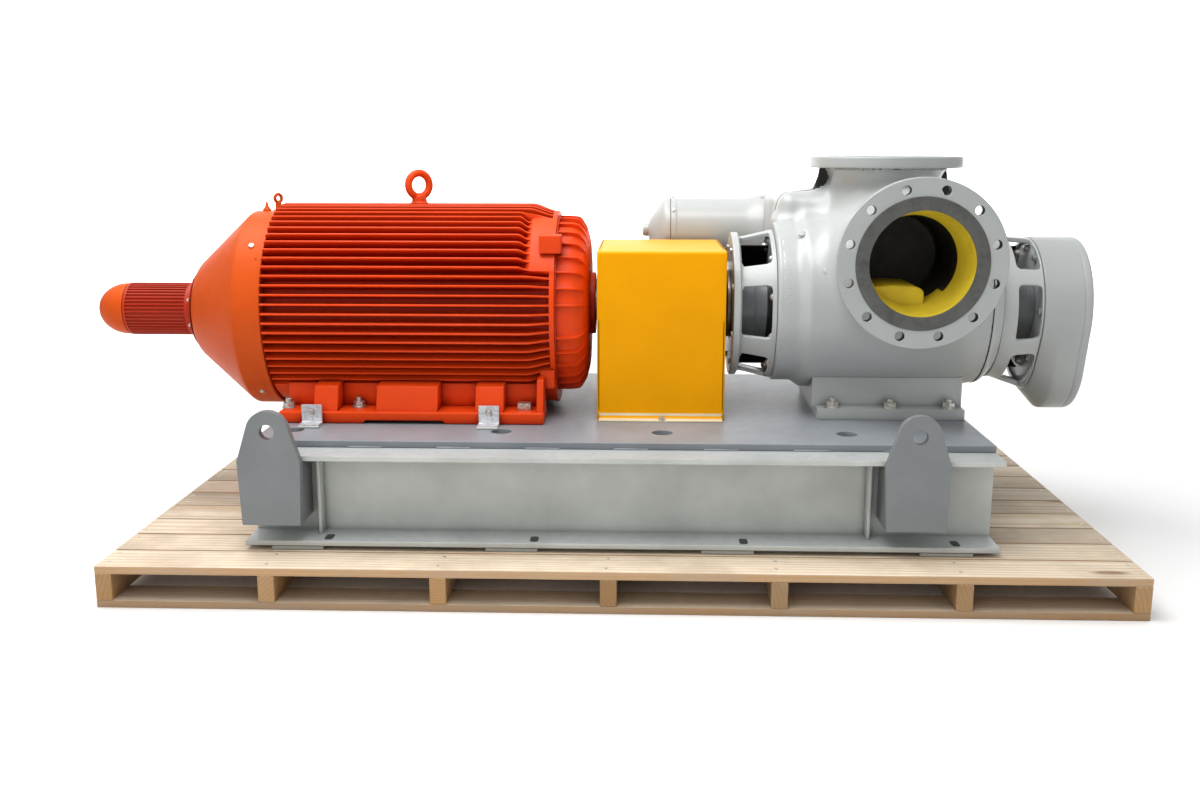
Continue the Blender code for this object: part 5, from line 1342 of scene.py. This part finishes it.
        piece("suction_bore_lining", turned(cup, (SUCTION[0], start, SUCTION[2]), "Y", 96, close=True),
              "primer dark", pick=deep)
        shelf = softened([(-0.122, -0.11), (0.034, -0.122), (0.032, -0.074), (0.012, -0.064), (-0.05, -0.061),
                          (-0.12, -0.07)], 0.01, closed=True)
        shelf = slab(shelf, (-0.29, -0.12), "Y", 0.006, 4, (SUCTION[0], 0, SUCTION[2]))
        piece("casing_inner_shelf", shelf, "primer")


def span_of(name):
    """Where a node starts and ends along the shaft."""
    low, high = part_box(name)
    return low.x, high.x


def joint(name, span, inner, outer, centre=BARREL, sides=144):
    """A gasket between two castings: a thin dark ring, a little proud of them."""
    corners = [(0, inner), (0, outer), (-0.0, outer), (-0.0, inner)]
    piece(name, lathe(span, corners, 0.0002, 2, centre, sides=sides, closed=True), "rubber")


class BuildDriveEnd(Operator):
    """Build the bearing cover, the bearing housing, the open bracket and the casing's end cover."""

    bl_idname = "pump_unit.drive_end"
    bl_label = "Pump drive end"

    def execute(self, context):
        """Turned profiles, and a wall with six windows made of two grids."""
        span = span_of("pump_bearing_cover")
        cover = [(0, 0.034), (0, 0.0845), (0.0045, 0.089), (-0.0, 0.089), (-0.0, 0.034)]
        piece("pump_bearing_cover_turned", lathe(span, cover, 0.0012, 3, closed=True), "bearing_cover",
              "pump_bearing_cover")
        piece("bearing_cover_bolts", ring_of(bolt(0.015), span[0], SHAFT, 0.073, 6, 15.0), "screw")
        span = span_of("pump_bearing_housing")
        housing = [(0.058, 0), (0.058, 0.0335), (0, 0.0335), (0, 0.094), (0.062, 0.0935), (0.066, 0.0915),
                   (-0.03, 0.0905), (-0.012, 0.094), (-0.0, 0.094), (-0.0, 0)]
        shade = span[1] - 0.016
        housing = lathe(span, housing, [0, 0, 0.001, 0.001, 0.003, 0.003, 0.01, 0.004, 0.001, 0])
        # The housing takes the darker lug grey, partly dirt and partly painted shade inside the bracket, and
        # its last 16 mm is near black painted shade.
        piece("pump_bearing_housing_turned", housing, "lug dark", "pump_bearing_housing", slot="pump_paint",
              pick=lambda middles: middles[:, 0] > shade)
        self.bracket()
        low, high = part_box("drive_end_cover")
        radius = (high.z - low.z) / 2
        profile = [(0, 0), (0, radius - 0.007), (0.004, radius - 0.001), (0.008, radius), (-0.0, radius),
                   (-0.0, 0)]
        cover = lathe((low.x, high.x), profile, [0, 0.003, 0.002, 0.002, 0.0015, 0], centre=BARREL, sides=144)
        piece("drive_end_cover_turned", cover, "pump", "drive_end_cover")
        joint("drive_cover_joint", (high.x - 0.0006, high.x + 0.0009), radius - 0.004, radius + 0.0002)
        nut = domed_nut(context.scene.pump_sizes.cover_bolt)
        piece("drive_cover_nuts", ring_of(nut, low.x, SHAFT, 0.172, 10, 167.0, spin=0.7), "screw")
        return {"FINISHED"}

    def bracket(self):
        """The bracket's face is turned, and its wall widens towards the casing with a lip at the face."""
        left, right = span_of("drive_end_bracket")
        face = lathe((left, right), [(0, 0.0944), (0, 0.192), (0.018, 0.192), (0.018, 0.0944)],
                     [0.001, 0.004, 0.003, 0.001], sides=120, closed=True)
        x = np.array((0.0175, 0.0195, 0.022, 0.026, 0.04, 0.055, 0.07, 0.085, 0.0987, 0.103, 0.1045, 0.109,
                      0.1107, right - left))
        x = left + np.unique(x[x <= right - left])
        past = x - left - 0.018
        wide = 0.178 + 0.022 * np.clip(past / (right - left - 0.018), 0, 1)
        wall = cage(wide + 0.01 * np.exp(-np.clip(past, 0, 1) / 0.003), wide - 0.012, x,
                    (left + 0.022, left + 0.0987), 21.0)
        piece("drive_end_open_bracket", [face, wall], "pump", "drive_end_bracket", bevel=0.0022, weld=2e-5)
        # A near black curved sheet behind the lower windows: painted shade inside the bracket.
        piece("drive_bracket_shade_liner",
              curved_wall((left + 0.0182, right - 0.0005), 0.1625, 0.165, (-88, 68)), "dark")
        screw = disc(0.007, 0.005, 0.001, 18)
        piece("drive_bracket_screws", ring_of(screw, left + 0.001, SHAFT, 0.16, 8, 22.5), "screw")


class BuildPedestal(Operator):
    """Finish the pedestal under the casing and bolt it down."""

    bl_idname = "pump_unit.pedestal"
    bl_label = "Pump pedestal"

    def execute(self, context):
        """Hexagon bolts on washers, copied along both edges of the foot."""
        dress("pump_pedestal", "pump", 0.004)
        spots = [(x, side * 0.164, PLATE_TOP + 0.0283) for x in (0.672, 0.822, 0.974) for side in (-1, 1)]
        piece("pedestal_bolts", spread(bolt(0.03, stud=0.01), spots, spins=np.arange(6) * 0.5), "screw")
        return {"FINISHED"}


class BuildReliefValve(Operator):
    """Build the relief valve's spring barrel, its tapered cap, the joint and the screws."""

    bl_idname = "pump_unit.relief_valve"
    bl_label = "Relief valve"

    def execute(self, context):
        """Profiles turned about the valve's own axis."""
        centre = (0, RELIEF_Y, RELIEF_Z)
        start, end = span_of("relief_valve_body")
        body = [(0, 0), (0, 0.094), (0.014, 0.094), (0.017, 0.0925), (-0.052, 0.0925), (-0.018, 0.102),
                (-0.0, 0.1052), (-0.0, 0)]
        body = lathe((start, end), body, [0, 0.002, 0.001, 0.003, 0.016, 0.014, 0.0002, 0], 6, centre)
        piece("relief_valve_barrel", body, "pump", "relief_valve_body")
        cap = [(0, 0), (0, 0.0175), (0.017, 0.019), (0.019, 0.0335), (0.026, 0.04), (-0.02, 0.0925),
               (-0.001, 0.093), (-0.0, 0)]
        cap = lathe(span_of("relief_valve_cap"), cap, [0, 0.003, 0.002, 0.003, 0.006, 0.022, 0.001, 0], 6,
                    centre)
        piece("relief_valve_tapered_cap", cap, "pump", "relief_valve_cap")
        joint("relief_cap_joint", (start - 0.0006, start + 0.0006), 0.088, 0.0924, centre, 112)
        rim = ring_places((end - 0.012, RELIEF_Y, RELIEF_Z), 0.1028, 4, start=112.5)
        sides = ring_places((start + 0.007, RELIEF_Y, RELIEF_Z), 0.0958, 6, start=20.0)
        piece("relief_valve_screws",
              [spread(disc(0.005, 0.003, 0.002, 16), *rim), spread(disc(0.005, 0.0024, 0.001, 16), *sides)],
              "screw")
        return {"FINISHED"}


def case_outline(lower_z, grow=0):
    """A large circle over a smaller one, joined by tangents, as its radius at each angle about the shaft.

    At an angle the radius is the farther of three: the large circle's, the small circle's, and the
    tangent line's where it lies between its two touching points.
    """
    upper, under = 0.183 + grow, 0.15 + grow
    drop = SHAFT_Z - lower_z
    lean = math.asin((upper - under) / drop)

    def reach(angle):
        """The outline's radius at each angle."""
        up, side = np.sin(angle), np.abs(np.cos(angle))
        middle = -up * drop
        inside = np.maximum(middle ** 2 - drop ** 2 + under ** 2, 0)
        small = np.where(middle > 0, middle + np.sqrt(inside), 0) * (inside > 0)
        straight = upper / np.maximum(side * cos(lean) - up * sin(lean), 1e-6)
        place = straight * up
        between = (place <= -upper * sin(lean) + 1e-9) & (place >= -drop - under * sin(lean) - 1e-9)
        return np.where(between, straight, np.maximum(upper, small))

    return reach


class BuildGearEnd(Operator):
    """Build the gear end cover, the open bracket, the bearing housing, the gear case and its cover."""

    bl_idname = "pump_unit.gear_end"
    bl_label = "Pump gear end"

    def execute(self, context):
        """Turned profiles, a windowed wall, and the case as a blend of two outlines along the shaft."""
        span = span_of("gear_end_cover")
        cover = [(0, 0), (0, 0.22), (0.01, 0.218), (-0.008, 0.204), (-0.0, 0.198), (-0.0, 0)]
        cover = lathe(span, cover, [0, 0.002, 0.006, 0.006, 0.004, 0], 5, BARREL, sides=144)
        piece("gear_end_cover_turned", cover, "pump", "gear_end_cover")
        joint("gear_cover_joint", (span[0] - 0.001, span[0] + 0.0006), 0.212, 0.2203)
        self.bracket()
        housing = [(0, 0), (0, 0.1), (0.016, 0.1), (0.02, 0.0955), (-0.014, 0.0955), (-0.01, 0.1),
                   (-0.0, 0.1), (-0.0, 0)]
        housing = lathe(span_of("gear_end_bearing_housing"), housing,
                        [0, 0.001, 0.002, 0.003, 0.003, 0.002, 0.001, 0])
        # The housing takes the darker lug grey, partly dirt and partly painted shade inside the bracket.
        piece("gear_end_bearing_housing_turned", housing, "lug", "gear_end_bearing_housing",
              slot="pump_paint")
        self.case()
        return {"FINISHED"}

    def bracket(self):
        """The wall runs from a circle to the narrow outline of the case, with six windows."""
        left, right = span_of("gear_end_bracket")
        x = left + np.array((0, 0.003, 0.01, 0.02, 0.03, 0.037, 0.0397, 0.05, 0.062, 0.074, 0.088, 0.1017,
                             0.105))
        x = np.append(x[x < right - 0.001], right)
        radius = 0.189
        wall = np.full(len(x), radius)
        points, faces = cage(wall, wall - 0.013, x, (left + 0.0397, left + 0.1017), 23.0)
        angle = np.arctan2(points[:, 2] - SHAFT_Z, points[:, 1])
        share = np.clip((points[:, 0] - left - 0.02) / (right - left - 0.02), 0, 1)
        start = radius - 0.004 * np.sin(angle)
        grown = (start + (case_outline(0.553, -0.004)(angle) - start) * share) / radius
        points[:, 1] *= grown
        points[:, 2] = SHAFT_Z + (points[:, 2] - SHAFT_Z) * grown
        piece("gear_end_open_bracket", (points, faces), "pump", "gear_end_bracket", bevel=0.0025, weld=2e-5)
        # A near black curved sheet behind the lower windows: painted shade inside the bracket.
        piece("gear_bracket_shade_liner",
              curved_wall((left + 0.0005, right - 0.004), 0.1695, 0.172, (-88, 62)), "dark")
        bolts = ring_of(bolt(0.02), left + 0.0002, SHAFT, 0.15, 12, 15.0, RIGHTWARD, 0.6)
        piece("gear_bracket_bolts", [bolts, ring_of(bolt(0.016), right - 0.0002, SHAFT, 0.152, 12, spin=0.6)],
              "screw")

    def case(self):
        """Radius at each angle: the narrow outline where the bracket ends, the full one from there on.

        What each row draws in from the outline comes off; a whole metre off closes the end.
        """
        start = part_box("gear_case")[0].x
        narrow, full = case_outline(0.553), case_outline(0.501)
        angle = np.linspace(0, tau, 200, endpoint=False)[None, :]
        x = np.array((0, 0, 0.0006, 0.002, 0.01, 0.02, 0.03, 0.038, 0.0445, 0.05, 0.07, 0.086, 0.09,
                      0.0935, 0.0962, 0.0982, 0.0994, 0.0997, 0.0997))[:, None]
        draw = np.array((1.0, 0.0012, 0.0004, *[0] * 12, 0.0001, 0.0004, 0.001, 1.0))[:, None]
        share = np.clip(x / 0.0467, 0, 1)
        radius = np.maximum(narrow(angle) * (1 - share) + full(angle) * share - draw, 0)
        piece("gear_case_cast", swept(start + x, radius, angle), "flange", "gear_case")
        low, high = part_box("gear_case_cover")
        edge = case_outline(0.501, -0.0004)
        x = np.array((0, 0, 0.0012, 0.01, 0.015, 0.019, 0.0215, 0.023, 0.0237, 0.0237, 0.0222, 0.0222))
        draw = np.array((1.0, 0.0008, 0, 0, 0.0003, 0.0016, 0.0036, 0.0066, 0.0096, 0.02, 0.0222, 1.0))
        radius = np.maximum(edge(angle) - draw[:, None], 0)
        piece("gear_case_end_cover", swept(low.x + x[:, None], radius, angle), "flange", "gear_case_cover")
        turn = np.radians((8, 38, 68, 98, 128, 158, 188, 214, 234, 270, 306, 326, 350))
        reach = edge(turn) - 0.015
        spots = placed(high.x - 0.0008, reach * np.cos(turn), reach * np.sin(turn), "X", SHAFT)
        piece("gear_cover_screws", spread(disc(0.0075, 0.0007, 0.001, 18, 0.0003), spots, RIGHTWARD), "screw")


class BuildSmallParts(Operator):
    """Build the plugs on the castings."""

    bl_idname = "pump_unit.small_parts"
    bl_label = "Plugs"

    def execute(self, context):
        """Hexagon plugs placed on the surfaces that carry them."""
        shells = []
        for x, rise, radius in ((0.585, 0.182, 0.22), (0.638, 0.097, 0.2316)):
            y = -math.sqrt(radius ** 2 - rise ** 2)
            shells.append(spread(bolt(0.017), (x, y * 0.995, CASING_Z + rise * 0.995), (0, y, rise)))
        shells.append(spread(bolt(0.018), (0.21, RELIEF_Y - 0.036, RELIEF_Z), (-0.75, -0.65, 0)))
        piece("casing_plugs", shells, "pump")
        return {"FINISHED"}


# The base and the pallet

class BuildBase(Operator):
    """Finish the beams, the top plate and the lugs, with their weld beads and slotted holes."""

    bl_idname = "pump_unit.base"
    bl_label = "Welded base"

    def execute(self, context):
        """Beads are rippled ropes along straight seams; the slots are thin dark slabs with round ends,
        painted shade where the holes are.
        """
        size = context.scene.base_sizes.weld
        lug_face, plate_edge, slot_line = 0.544, 0.4588, 0.512
        for name in ("front_rail", "rear_rail", "left_cross_beam", "right_cross_beam"):
            dress(name, "base", 0.0025)
        dress("top_plate", "plate", 0.0015)
        rail_low, rail_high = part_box("front_rail")
        low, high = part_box("top_plate")
        beads, stitches, ribs = [], [], []
        for side, way in (("front", -1), ("rear", 1)):
            ends = [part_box(f"lifting_lug_{side}_{end}") for end in ("left", "right")]
            for end, (lug_low, lug_high) in zip(("left", "right"), ends):
                dress(f"lifting_lug_{side}_{end}", "lug", 0.002)
                for drop in (0.0005, 0.013):
                    beads.append(bead((lug_low.x + 0.006, way * lug_face, rail_high.z - drop),
                                      lug_high.x - lug_low.x - 0.012, size))
            for start in np.arange(low.x + 0.02, high.x - 0.1, 0.215):
                stitches.append(bead((start, way * plate_edge, low.z + 0.001), 0.085, size * 0.55))
            for x in (ends[0][1].x + 0.016, ends[1][0].x - 0.024):
                ribs.append(block((x, x + 0.008), (way * (WEB_FACE - 0.001), way * (WEB_FACE + 0.04)),
                                  (rail_low.z + 0.016, rail_high.z - 0.016), 0.0012))
        piece("base_weld_beads", beads, "weld")
        piece("top_plate_stitches", stitches, "plate")
        piece("rail_stiffeners", ribs, "base")
        spots = [(x, way * slot_line, rail_low.z + 0.0233)
                 for x in (-0.576, -0.081, 0.419, 0.919) for way in (-1, 1)]
        # Dark slabs on the bottom flange stand for the slotted holes: painted shade.
        hole = slab(rectangle((-0.02, 0.02), (-0.01, 0.01), 0.0098, 6), (-0.002, 0.0003), "Z", 0.0002, 2)
        piece("rail_flange_slots", spread(hole, spots), "rubber", slot="base_paint")
        return {"FINISHED"}


class BuildPallet(Operator):
    """Build the pallet board by board, with nails in each crossing."""

    bl_idname = "pump_unit.pallet"
    bl_label = "Timber pallet"

    def execute(self, context):
        """Each board is a slab with slightly uneven, worn arrises; its own number goes to the grain."""
        sizes = context.scene.base_sizes
        rng = np.random.default_rng(7)
        low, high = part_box("pallet_deck")
        base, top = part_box("pallet_bearers")
        pitch = (high.y - low.y + sizes.board_gap) / sizes.boards
        butts = {2: 0.101, 5: -0.29, 8: 0.49}

        def deck():
            """Every third board is of two lengths that meet over a bearer. A box is made when it is asked
            for, so that its random thickness is drawn just before its board."""
            for index in range(sizes.boards):
                start = low.y + index * pitch
                cuts = [low.x, high.x]
                if index in butts:
                    cuts[1:1] = [butts[index] - 0.001, butts[index] + 0.001]
                for first, last in zip(cuts[::2], cuts[1::2]):
                    yield ((first, last), (start, start + pitch - sizes.board_gap),
                           (low.z, high.z - rng.uniform(0, 0.0006)))

        self.make("pallet_deck_boards", deck(), rng, "pine", "pallet_deck")
        rows = ((base.y, base.y + 0.1), (-0.05, 0.05), (top.y - 0.1, top.y))
        self.make("pallet_bottom_boards", [((base.x, top.x), y, (base.z, 0.018)) for y in rows], rng, "pine")
        boxes = [((x - 0.019, x + 0.019), (base.y, top.y), (0.0181, low.z - 0.0001)) for x in BEARERS]
        self.make("pallet_cross_bearers", boxes, rng, "pine_across", "pallet_bearers", 0.0018)
        places = [(x, low.y + (index + share) * pitch) for x in BEARERS for index in range(sizes.boards)
                  for share in (0.25, 0.75)]
        spots = [(x + rng.uniform(-0.006, 0.006), y + rng.uniform(-0.006, 0.006), high.z - 0.0005)
                 for x, y in places]
        nail = disc(sizes.nail_head, 0.0009, 0.001, 12, 0.0003)
        piece("pallet_nails", spread(nail, spots), "screw", slot="pallet_pine")
        return {"FINISHED"}

    def board(self, x, y, z, rng, soft):
        """A slab along its longer side, whose rows wander by a fraction of a millimetre."""
        along_x = x[1] - x[0] > y[1] - y[0]
        outline = rectangle(y if along_x else x, z, soft, 2)
        first, last = x if along_x else y
        rows = 26
        along = np.array([first, first, *np.linspace(first + 0.001, last - 0.001, rows), last, last])
        wander = rng.normal(0, 0.00025, (rows + 2, 1, 2)) * (1.0, 0.5)
        drawn = inset(outline, 0.0012)
        edges = np.array([drawn, *[outline] * rows, drawn]) + wander
        middle = np.broadcast_to(outline.mean(0), outline.shape)
        edges = np.concatenate((middle[None], edges, middle[None]))
        edges = np.clip(edges, outline.min(0), outline.max(0))
        return sheet(stacked(edges, along, "X" if along_x else "Y"))

    def make(self, name, boxes, rng, finishes, stands_for="", soft=0.0025):
        """One piece of many boards, with each board's random number on its points."""
        shells, numbers = [], []
        for box in boxes:
            shells.append(self.board(*box, rng, soft))
            numbers.append(rng.uniform(0.02, 0.98))
        mesh = piece(name, shells, finishes, stands_for, weld=1e-7, smooth=30).data
        places = np.zeros(len(mesh.vertices) * 3)
        mesh.vertices.foreach_get("co", places)
        places = places.reshape(-1, 3)
        values = np.zeros(len(places))
        for (points, _), number in zip(shells, numbers):
            within = (places >= points.min(0) - 1e-6) & (places <= points.max(0) + 1e-6)
            values[within.all(1)] = number
        mesh.attributes.new("board", "FLOAT", "POINT").data.foreach_set("value", values)


# The stage

class BuildStage(Operator):
    """Set the camera at the photograph's angle, the pale floor, the studio lights and the white surround."""

    bl_idname = "pump_unit.stage"
    bl_label = "Stage"

    def execute(self, context):
        """The camera's three axes are the right, up and back directions fitted to the photograph."""
        scene = context.scene
        camera = bpy.data.objects.new("photo_camera", bpy.data.cameras.new("photo_camera"))
        scene.collection.objects.link(camera)
        right = Vector((0.99939, 0.03505, 0)).normalized()
        forward = Vector((-0.03431, 0.97822, -0.20474)).normalized()
        turn = Matrix((right, right.cross(forward).normalized(), -forward)).transposed().to_4x4()
        camera.matrix_world = Matrix.Translation((0.173, -3.256, 1.041)) @ turn
        for name, value in (("sensor_fit", "HORIZONTAL"), ("sensor_width", 36.0), ("lens", 36.0),
                            ("clip_start", 0.05), ("clip_end", 60.0)):
            setattr(camera.data, name, value)
        scene.camera = camera
        self.board("studio_floor", [(x, y, -0.0002) for x, y in ((-14, -14), (14, -14), (14, 14), (-14, 14))],
                   studio_paper("white_studio_paper", 0.4))
        self.board("studio_backdrop", [(-9, 9, -0.0001), (9, 9, -0.0001), (9, 9, 5.5), (-9, 9, 5.5)],
                   studio_paper("lit_backdrop_cloth", 0.5, 0.75))

        world = bpy.data.worlds.new("white_surround")
        world.use_nodes = True
        sky = world.node_tree
        height = add(sky, "SeparateXYZ", {0: add(sky, "TexCoord").outputs["Generated"]})
        glow = add(sky, "MapRange", {0: height.outputs[2], 1: 0, 2: 0.7, 3: 0.36, 4: 0.78})
        sky.nodes["Background"].inputs["Color"].default_value = (1.0, 1.0, 1.0, 1.0)
        sky.links.new(glow.outputs[0], sky.nodes["Background"].inputs["Strength"])
        scene.world = world
        scene.view_settings.view_transform = "Standard"
        scene.view_settings.look = "None"

        for name, place, aim, size, power, tint in (
                ("overhead_softbox", (-0.7, -0.5, 3.3), (0.1, 0, 0.4), (3.4, 1.8), 118.0, (1.0, 1.0, 1.0)),
                ("front_fill", (-1.6, -4.4, 1.9), (0, 0, 0.5), (2.6, 1.8), 26.0, (1.0, 0.98, 0.95)),
                ("backdrop_wash", (0, 5.6, 4.5), (0, 5.8, 0), (13.0, 4.5), 420.0, (1.0, 1.0, 1.0)),
                ("right_strip", (3.2, -1.2, 1.7), (0.5, 0, 0.6), (0.8, 2.0), 2.0, (1.0, 1.0, 1.0))):
            lamp = bpy.data.lights.new(name, "AREA")
            lamp.shape = "RECTANGLE"
            lamp.size, lamp.size_y = size
            lamp.energy = power
            lamp.color = tint
            lamp.spread = radians(75.0 if name == "backdrop_wash" else 180.0)
            item = bpy.data.objects.new(name, lamp)
            scene.collection.objects.link(item)
            item.location = place
            item.visible_glossy = name != "front_fill"
            item.rotation_euler = (Vector(aim) - Vector(place)).to_track_quat("-Z", "Y").to_euler()
        return {"FINISHED"}

    def board(self, name, corners, material):
        """A flat board of the stage from its four corners."""
        mesh = bpy.data.meshes.new(name)
        mesh.from_pydata(corners, [], [(0, 1, 2, 3)])
        mesh.materials.append(material)
        item = bpy.data.objects.new(name, mesh)
        bpy.context.scene.collection.objects.link(item)


OPERATORS = (BuildStage, BuildPallet, BuildBase, BuildFinnedFrame, BuildEndShield, BuildLiftingEyes,
             BuildFanHood, BuildFanMotor, BuildMotorFeet, BuildJackingScrews, BuildShaftLine, BuildGuard,
             BuildCasing, BuildDriveEnd, BuildPedestal, BuildReliefValve, BuildGearEnd, BuildSmallParts)
GROUPS = {"unit_colours": UnitColours, "motor_sizes": MotorSizes, "pump_sizes": PumpSizes,
          "base_sizes": BaseSizes}


class PumpUnitPanel(Panel):
    """Lists the colours, the sizes and every piece of the unit."""

    bl_idname = "VIEW3D_PT_pump_unit"
    bl_label = "Gear Pump Unit"
    bl_space_type = "VIEW_3D"
    bl_region_type = "UI"
    bl_category = "Pump Unit"

    def draw(self, context):
        """One box for each group of settings, then a button for each operator."""
        for group in GROUPS:
            box = self.layout.box()
            settings = getattr(context.scene, group)
            for name in settings.__annotations__:
                box.prop(settings, name)
        for operator in OPERATORS:
            self.layout.operator(operator.bl_idname)


CLASSES = (*GROUPS.values(), *OPERATORS, PumpUnitPanel)


def register():
    """Registers the settings, the operators and the panel."""
    for item in CLASSES:
        bpy.utils.register_class(item)
    for name, group in GROUPS.items():
        setattr(bpy.types.Scene, name, PointerProperty(type=group))


def unregister():
    """Takes them away again."""
    for name in GROUPS:
        delattr(bpy.types.Scene, name)
    for item in reversed(CLASSES):
        bpy.utils.unregister_class(item)


def main():
    """Builds the stage and every piece in order."""
    register()
    for operator in OPERATORS:
        group, action = operator.bl_idname.split(".")
        getattr(getattr(bpy.ops, group), action)()


if __name__ == "__main__":
    main()
